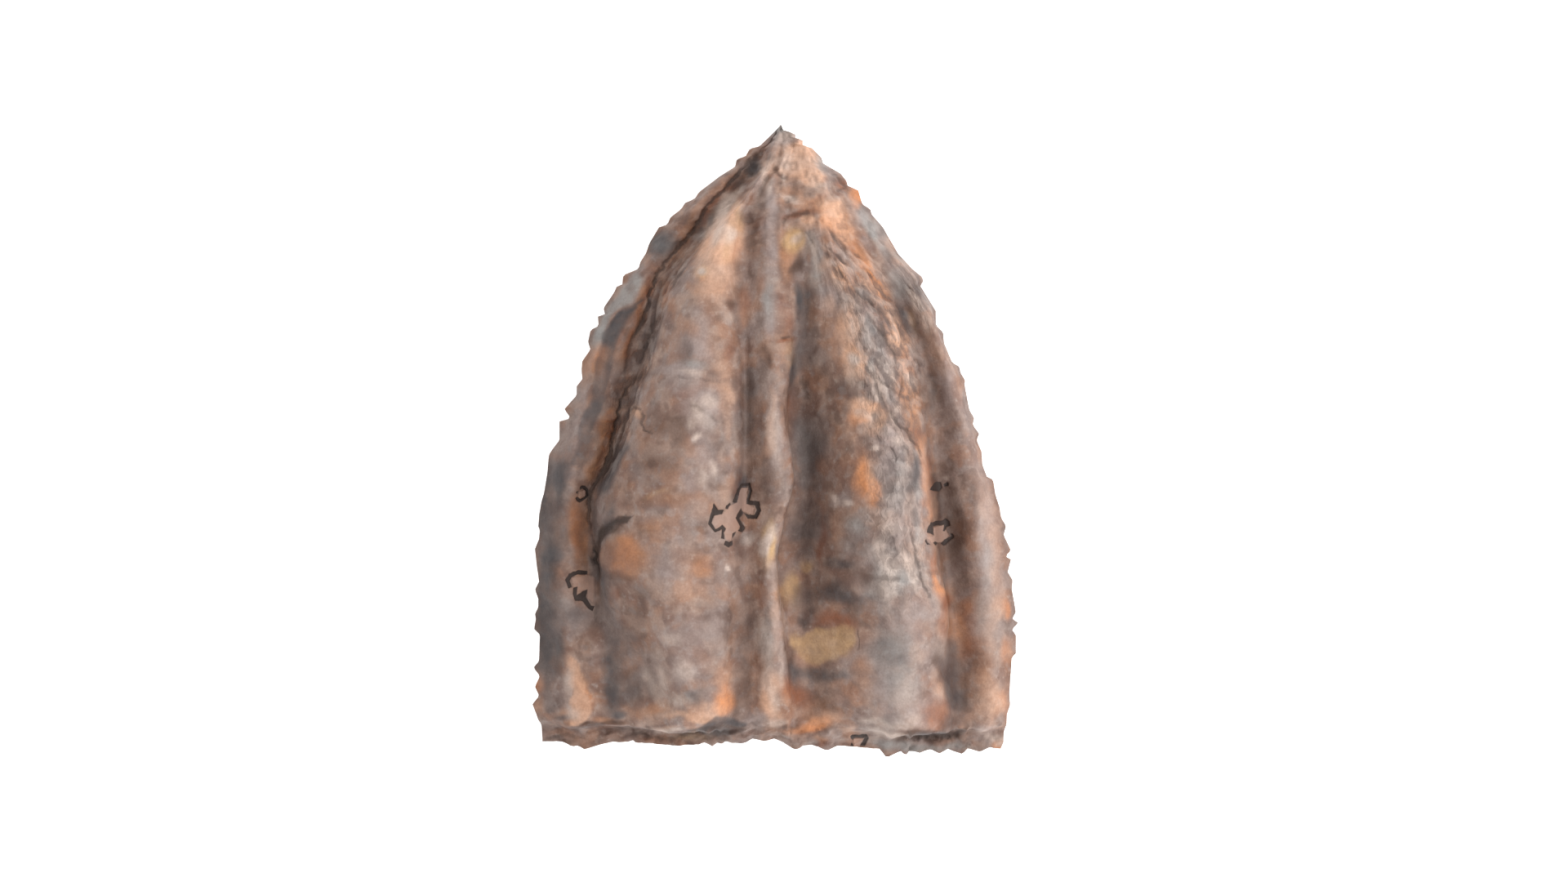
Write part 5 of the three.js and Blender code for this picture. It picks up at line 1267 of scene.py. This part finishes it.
# Stains with a plain edge, some of them painted shade in the furrows, in a fold and along the ledge. Each is
# (its corners, the softness of its edge, strength), in pixels.
AREAS = {
    "ash": {
        "upper left margin": (
            [(764, 350), (741, 377), (735, 400), (722, 420), (730, 430), (740, 425), (742, 405), (753, 387),
             (776, 370), (790, 342), (784, 332)], 4, 0.6),
    },
    "slate": {
        # painted shadow along the ledge at the broken end
        "ledge at the broken end": (
            [(842, 896), (858, 888), (878, 881), (900, 878), (916, 881), (916, 888), (900, 888), (880, 891),
             (862, 897)], 3, 0.6),
        "band down the left margin": (
            [(778, 372), (753, 388), (742, 408), (739, 430), (730, 446), (719, 485), (708, 525), (698, 566),
             (712, 574), (724, 545), (736, 508), (746, 468), (756, 430), (769, 402), (784, 372)], 3, 0.5),
        "wedge on the upper left margin": (
            [(780, 360), (764, 374), (753, 390), (744, 408), (743, 422), (754, 426), (764, 402), (774, 382),
             (786, 362)], 4, 0.55),
        "foot of the ridge, above the ochre patch": (
            [(973, 716), (985, 712), (997, 722), (998, 745), (990, 765), (983, 780), (976, 768), (972, 745)],
            6, 0.45),
        "lower left margin": (
            [(665, 560), (698, 566), (697, 600), (690, 640), (686, 700), (690, 745), (694, 790), (682, 830),
             (668, 850), (658, 800), (655, 740), (655, 700), (657, 640)], 9, 0.42),
        # painted shade in the outer furrow
        "outer furrow, low": (
            [(1156, 780), (1164, 776), (1173, 795), (1178, 820), (1183, 850), (1188, 872), (1172, 876),
             (1164, 866), (1156, 845), (1150, 815)], 6, 0.35),
        # painted shade in the left furrow
        "left furrow": (
            [(906, 438), (904, 480), (902, 520), (902, 550), (906, 575), (915, 590), (930, 588), (938, 560),
             (937, 500), (931, 460), (924, 438)], 9, 0.22),
        "left rim, low": (
            [(640, 740), (667, 740), (668, 780), (672, 820), (640, 830)], 7, 0.35),
    },
    "umber": {
        # painted shade in the outer furrow
        "outer furrow, round the slate": (
            [(1160, 780), (1150, 788), (1146, 810), (1148, 832), (1155, 852), (1164, 868), (1181, 868),
             (1187, 848), (1184, 818), (1175, 792)], 4, 0.5),
        # painted shade in the left furrow
        "left furrow": (
            [(903, 470), (902, 500), (900.5, 525), (903, 560), (906, 585), (930, 585), (938, 555),
             (935, 520), (928, 480), (920, 465)], 3, 0.12),
        # painted shade in the fold round the swelling
        "fold round the swelling": (
            [(776, 626), (762, 630), (748, 636), (736, 645), (729, 657), (726, 671), (727, 687), (732, 701),
             (736, 700), (732, 686), (731, 673), (734, 661), (742, 651), (754, 643), (768, 635)], 1.6, 0.85),
        # painted shade in the outer furrow
        "outer furrow": (
            [(1142, 560), (1142, 600), (1144, 640), (1147, 690), (1155, 728), (1167, 760), (1190, 762),
             (1186, 700), (1180, 640), (1172, 590), (1163, 560)], 4, 0.3),
    },
    "peach": {
        "tongue low on the left margin": (
            [(692, 802), (701, 805), (709, 814), (714, 828), (717, 842), (724, 858), (722, 872), (710, 886),
             (702, 884), (700, 850), (694, 825)], 2.5, 0.6),
    },
    "ochre": {
        "patch low on the right lobe": (
            [(966, 776), (985, 782), (1000, 768), (1030, 766), (1047, 770), (1046, 786), (1036, 799),
             (1020, 811), (1003, 815), (988, 810), (974, 797), (965, 787)], 5, 0.6),
    },
}
SOAKING = 0.8  # how fast a stain fades from its middle


def patch(spots, x, y, half_width, half_height, turn=0, edge=1.4):
    """How deep in an oval patch each spot lies, from 0 to 1: a higher edge is crisper."""
    angle = math.radians(turn)
    dx, dy = spots[:, 0] - x, spots[:, 1] - y
    across = (dx * math.cos(angle) + dy * math.sin(angle)) / half_width
    along = (dy * math.cos(angle) - dx * math.sin(angle)) / half_height
    return np.exp(-SOAKING * (across**2 + along**2) ** edge)


# The outlines of the stains wander a little, by a broad sway and a narrow one.
for seed, pigment in enumerate(PATCHES):
    spots = swayed(swayed(seen, 26.0, 5.0, 100 + 10 * seed), 11.0, 2.4, 105 + 10 * seed)
    bare = np.ones(len(seen))
    for x, y, half_width, half_height, strength, *turn_and_edge in PATCHES[pigment]:
        bare *= 1 - strength * patch(spots, x, y, half_width, half_height, *turn_and_edge)
    for line, half_width, strength in STREAKS.get(pigment, []):
        gap, _, reached = from_line(spots, line)
        bare *= 1 - strength * np.exp(-SOAKING * (gap / half_width) ** 2.4) * tapered(reached)
    for corners, softness, strength in AREAS.get(pigment, {}).values():
        bare *= 1 - strength * smooth_step(-softness, softness, inside(spots, corners))
    on_bone[pigment] = (1 - bare) * on_skin

for vert, place in zip(shaping.verts, place_now):
    vert.co = place * MM
shaping.to_mesh(mesh)
shaping.free()
for name, strength in on_bone.items():
    mesh.attributes.new(name, "FLOAT", "POINT").data.foreach_set("value", strength)
mesh.shade_smooth()
mesh.set_sharp_from_angle(angle=math.radians(55))


# Bone: the material
# Mineralised bone is dull and a little grainy. Its stains soak in unevenly, so that each one breaks up into
# spots and threads, and the broken walls and back are rougher and full of pores.
class Wire:
    """A socket in a node tree: arithmetic on it adds Math nodes, and add() adds any other node."""

    def __init__(self, tree, socket):
        self.tree = tree
        self.socket = socket

    @classmethod
    def add(cls, tree, kind, settings=None, sockets=None, output=0):
        node = tree.nodes.new(kind)
        for name, value in (settings or {}).items():
            setattr(node, name, value)
        for name, value in (sockets or {}).items():
            if isinstance(value, Wire):
                tree.links.new(value.socket, node.inputs[name])
            else:
                node.inputs[name].default_value = value
        return cls(tree, node.outputs[output])

    def maths(self, operation, *values):
        return Wire.add(self.tree, "ShaderNodeMath", {"operation": operation}, dict(enumerate(values)))

    def __add__(self, other):
        return self.maths("ADD", self, other)

    def __sub__(self, other):
        return self.maths("SUBTRACT", self, other)

    def __rsub__(self, other):
        return self.maths("SUBTRACT", other, self)

    def __mul__(self, other):
        return self.maths("MULTIPLY", self, other)

    def __rtruediv__(self, other):
        return self.maths("DIVIDE", other, self)

    def absolute(self):
        return self.maths("ABSOLUTE", self)

    __radd__ = __add__
    __rmul__ = __mul__


def sight(red, green, blue):
    """A colour as the eye sees it, from 0 to 255, as the linear colour that the shader works in."""
    seen_as = [value / 255 for value in (red, green, blue)]
    return (*[v / 12.92 if v <= 0.04045 else ((v + 0.055) / 1.055) ** 2.4 for v in seen_as], 1)


bone_finish = bpy.data.materials.new("fossil_bone")
bone_finish.use_nodes = True
tree = bone_finish.node_tree
surface = tree.nodes["Principled BSDF"]
position = Wire.add(tree, "ShaderNodeTexCoord", output=3)
along_the_bone = Wire.add(tree, "ShaderNodeSeparateXYZ", {}, {0: position}, output=1)


def strength_of(name):
    """What the skin knows about a thing at each spot."""
    return Wire.add(tree, "ShaderNodeAttribute", {"attribute_name": name}, output=2)


def noise(size, detail=3, stretch=(1, 1, 1), roughness=0.55):
    """Uneven grey from 0 to 1, with features of a size in millimetres."""
    squeeze = tuple(1 / length for length in stretch)
    scaled = Wire.add(tree, "ShaderNodeVectorMath", {"operation": "MULTIPLY"}, {0: position, 1: squeeze})
    return Wire.add(
        tree,
        "ShaderNodeTexNoise",
        {"noise_dimensions": "3D"},
        {"Vector": scaled, "Scale": 1 / (size * MM), "Detail": detail, "Roughness": roughness},
    )


def climb(value, low, high):
    """0 below low, 1 above high, and a smooth climb between."""
    return Wire.add(
        tree,
        "ShaderNodeMapRange",
        {"interpolation_type": "SMOOTHSTEP"},
        {"Value": value, "From Min": low, "From Max": high},
    )


def mixed(amount, under, over, way="MIX"):
    """One colour laid over another."""
    settings = {"data_type": "RGBA", "blend_type": way}
    return Wire.add(tree, "ShaderNodeMix", settings, {0: amount, 6: under, 7: over}, output=2)


PIGMENTS = {
    "lilac": sight(176, 159, 154),
    "ash": sight(172, 169, 166),
    "tan": sight(198, 140, 100),
    "umber": sight(94, 68, 56),
    "rust": sight(152, 92, 60),
    "orange": sight(236, 160, 108),
    "peach": sight(238, 188, 156),
    "ochre": sight(216, 176, 130),
    "slate": sight(76, 74, 77),
    "pale": sight(230, 208, 194),
}

broad = noise(15, 2, roughness=0.4)
small = noise(2.0, 2)
grainy = noise(0.8, 2)
ragged = noise(1.7, 3)
broken = noise(4.4, 2)

# The ground: pinkish tan and brown in soft patches, greyed here and warmed there, with pale flecks.
colour = mixed(climb(noise(7, 2, roughness=0.35), 0.36, 0.62), sight(146, 113, 98), sight(179, 149, 133))
colour = mixed(climb(broad, 0.44, 0.62) * 0.5, colour, sight(158, 145, 141))
colour = mixed(climb(noise(5, 2, roughness=0.35), 0.52, 0.68) * 0.5, colour, sight(116, 90, 78))
colour = mixed(climb(noise(8.5, 2, roughness=0.35), 0.5, 0.66) * 0.4, colour, sight(188, 137, 106))
colour = mixed(climb(noise(4.0, 2, roughness=0.35), 0.54, 0.7) * 0.45, colour, sight(168, 152, 146))
colour = mixed(climb(small, 0.56, 0.78) * 0.35, colour, sight(196, 178, 167))
for n, (pigment, tint) in enumerate(PIGMENTS.items()):
    soaked = strength_of(pigment)
    uneven = 0.75 * noise(4.2 + 0.3 * n, 2) + 0.25 * small
    colour = mixed(climb(soaked * (0.66 + 0.8 * uneven), 0.0, 1.0), colour, tint)

# Wrinkles run along the bone. Painted shade darkens their grooves, the hollows and the cracks, and a
# painted highlight lightens their crests.
along_in_mm = along_the_bone * (1 / MM)
across_the_bone = Wire.add(tree, "ShaderNodeCombineXYZ", {}, {0: strength_of("across"), 1: along_in_mm})
stretched = Wire.add(
    tree, "ShaderNodeVectorMath", {"operation": "MULTIPLY"}, {0: across_the_bone, 1: (0.72, 0.3, 1)}
)
wrinkle = Wire.add(
    tree,
    "ShaderNodeTexNoise",
    {"noise_dimensions": "2D"},
    {"Vector": stretched, "Scale": 1.0, "Detail": 2, "Roughness": 0.5, "Distortion": 0.6},
)
below_tip = 1 - climb(along_in_mm, 55.0, 78.0)
wrinkled_here = strength_of("wrinkled")
folded = wrinkled_here * climb(wrinkle, 0.38, 0.62) * below_tip
groove = strength_of("groove")
cracks = 0
for n in range(len(CRACKS)):
    dark = strength_of(f"crack_{n}_dark")
    distance = strength_of(f"crack_{n}") + 3.6 * (ragged - 0.5)
    near = (1 - climb(distance.absolute(), 0.3, 2.8)) * climb(broken + 0.7 * dark, 0.55, 0.8)
    cracks = near * dark + cracks

shade = climb(0.5 * small + 0.5 * grainy, 0.34, 0.66)
colour = mixed(1.0, colour, mixed(shade, sight(237, 235, 234), sight(255, 255, 255)), "MULTIPLY")
# Painted shade: the lower the skin lies than the skin around it, the darker it is painted.
painted_hollow_shade = climb(strength_of("hollow"), -9.0, 9.0)
colour = mixed(1.0, colour, mixed(painted_hollow_shade, sight(255, 255, 255), sight(207, 202, 200)), "MULTIPLY")
# Painted shade where the bump's wrinkles lie low.
colour = mixed((wrinkled_here * below_tip - folded) * 0.3, colour, sight(88, 76, 72))
# Painted shade in the grooves of the skin's wrinkles.
colour = mixed(climb(groove, 0.5, 0.9) * wrinkled_here * 0.4, colour, sight(90, 76, 72))
# Painted highlight on the crests of the skin's wrinkles.
colour = mixed(climb(0.5 - groove, 0.0, 0.4) * wrinkled_here * 0.14, colour, sight(214, 196, 186))
colour = mixed(strength_of("chip_floor") * 0.5, colour, sight(180, 145, 129))
# Painted shade along the cracks, creases and folds.
colour = mixed(cracks * 0.9, colour, sight(60, 47, 41))
colour = mixed(climb(strength_of("chip_stain"), -0.6, 0.7) * 0.96, colour, sight(52, 40, 36))

# Where the skin has broken off, the bone is brown and full of pores.
PORE_SIZE = 1.6  # millimetres
skinned = strength_of("skin")
cells = Wire.add(tree, "ShaderNodeTexVoronoi", {}, {"Vector": position, "Scale": 1 / (PORE_SIZE * MM)})
pores = climb(cells, 0.0, 0.45)
spongy = mixed(pores, sight(84, 62, 50), mixed(broad, sight(150, 120, 100), sight(186, 146, 118)))
colour = mixed(skinned, spongy, colour)

BUMP = 0.4  # millimetres
height = 0.55 * small + 0.36 * grainy + 0.6 * folded + (-1.0) * cracks + (1 - skinned) * pores
bump = Wire.add(tree, "ShaderNodeBump", {}, {"Strength": 0.55, "Distance": BUMP * MM, "Height": height})
dullness = 0.55 + 0.25 * small
for socket, value in (("Base Color", colour), ("Roughness", dullness), ("Normal", bump)):
    tree.links.new(value.socket, surface.inputs[socket])
surface.inputs["Specular IOR Level"].default_value = 0.35


# Bone: the grain
# The skin has a fine grain, and the spongy bone of the break is pitted with pores.
def grain_tree():
    """Pushes the skin out and in by its grain, and sinks pores into the break."""
    nodes = bpy.data.node_groups.new("bone_grain", "GeometryNodeTree")
    sockets = {}
    for name, kind, value in (
        ("Bone", "NodeSocketGeometry", None),
        ("Grain height", "NodeSocketFloat", 0.07 * MM),
        ("Grain size", "NodeSocketFloat", 1.8 * MM),
        ("Pore depth", "NodeSocketFloat", 0.9 * MM),
        ("Pore size", "NodeSocketFloat", 3.4 * MM),
        ("Seed", "NodeSocketFloat", 3.0),
        ("Finish", "NodeSocketMaterial", None),
    ):
        socket = nodes.interface.new_socket(name, in_out="INPUT", socket_type=kind)
        sockets[name] = socket.identifier
        if value is not None:
            socket.default_value = value
    nodes.interface.new_socket("Bone", in_out="OUTPUT", socket_type="NodeSocketGeometry")
    given = nodes.nodes.new("NodeGroupInput")
    asked = {name: Wire(nodes, given.outputs[name]) for name in sockets}
    where = Wire.add(nodes, "GeometryNodeInputPosition")
    normal = Wire.add(nodes, "GeometryNodeInputNormal")
    skin_share = Wire.add(nodes, "GeometryNodeInputNamedAttribute", {"data_type": "FLOAT"}, {"Name": "skin"})

    def texture(kind, size):
        return Wire.add(
            nodes,
            kind,
            {"noise_dimensions" if kind == "ShaderNodeTexNoise" else "voronoi_dimensions": "4D"},
            {"Vector": where, "W": asked["Seed"], "Scale": 1 / size},
        )

    uneven = texture("ShaderNodeTexNoise", asked["Grain size"]) - 0.5
    grain = uneven * 2 * asked["Grain height"] * skin_share
    pores = Wire.add(
        nodes,
        "ShaderNodeMapRange",
        {"interpolation_type": "SMOOTHSTEP"},
        {
            "Value": texture("ShaderNodeTexVoronoi", asked["Pore size"]),
            "From Min": 0.15, "From Max": 0.5, "To Min": 1.0, "To Max": 0.0,
        },
    )
    sunk = pores * asked["Pore depth"] * (1 - skin_share)
    push = Wire.add(nodes, "ShaderNodeVectorMath", {"operation": "SCALE"}, {0: normal, "Scale": grain - sunk})
    moved = Wire.add(nodes, "GeometryNodeSetPosition", {}, {"Geometry": asked["Bone"], "Offset": push})
    realized = Wire.add(nodes, "GeometryNodeRealizeInstances", {}, {"Geometry": moved})
    finished = Wire.add(
        nodes, "GeometryNodeSetMaterial", {}, {"Geometry": realized, "Material": asked["Finish"]}
    )
    result = nodes.nodes.new("NodeGroupOutput")
    nodes.links.new(finished.socket, result.inputs["Bone"])
    return nodes, sockets


grain_nodes, grain_sockets = grain_tree()
rough_bone = bpy.data.objects.new("rough_bone", mesh)
bpy.context.scene.collection.objects.link(rough_bone)
grain = rough_bone.modifiers.new("grain", "NODES")
grain.node_group = grain_nodes
grain[grain_sockets["Finish"]] = bone_finish
bpy.context.view_layer.update()
evaluated = rough_bone.evaluated_get(bpy.context.evaluated_depsgraph_get())
bone = bpy.data.objects.new("weathered_bone", bpy.data.meshes.new_from_object(evaluated))
rough_bone.modifiers.clear()
bpy.data.objects.remove(rough_bone)
bpy.context.scene.collection.objects.link(bone)
bone.data.name = "weathered_bone"

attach(bone, "root")
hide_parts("bone")


# Table and light
# A white table that is lit evenly, so that it goes white in the picture, and soft light from all round,
# with a little more of it from the right.
table_mesh = bpy.data.meshes.new("table")
table_mesh.from_pydata([(-3, -3, 0), (3, -3, 0), (3, 3, 0), (-3, 3, 0)], [], [(0, 1, 2, 3)])
table = bpy.data.objects.new("table", table_mesh)
bpy.context.scene.collection.objects.link(table)
white = bpy.data.materials.new("white_table")
white.use_nodes = True
white_surface = white.node_tree.nodes["Principled BSDF"]
white_surface.inputs["Base Color"].default_value = (0.9, 0.9, 0.9, 1)
white_surface.inputs["Roughness"].default_value = 0.9
white_surface.inputs["Emission Color"].default_value = (1, 1, 1, 1)
white_surface.inputs["Emission Strength"].default_value = 0.8
table_mesh.materials.append(white)

world = bpy.data.worlds.new("studio")
world.use_nodes = True
world.node_tree.nodes["Background"].inputs["Color"].default_value = (1, 1, 1, 1)
world.node_tree.nodes["Background"].inputs["Strength"].default_value = 0.75
bpy.context.scene.world = world

lamp_data = bpy.data.lights.new("softbox", "AREA")
lamp_data.shape = "DISK"
lamp_data.size = 0.6  # metres across
lamp_data.energy = 9  # watts
lamp = bpy.data.objects.new("softbox", lamp_data)
lamp.location = (0.85, -0.05, 0.85)  # metres, low on the right
lamp.rotation_euler = (Vector((0, 0, 0)) - lamp.location).to_track_quat("-Z", "Y").to_euler()
bpy.context.scene.collection.objects.link(lamp)
bpy.context.scene.view_settings.view_transform = "Standard"
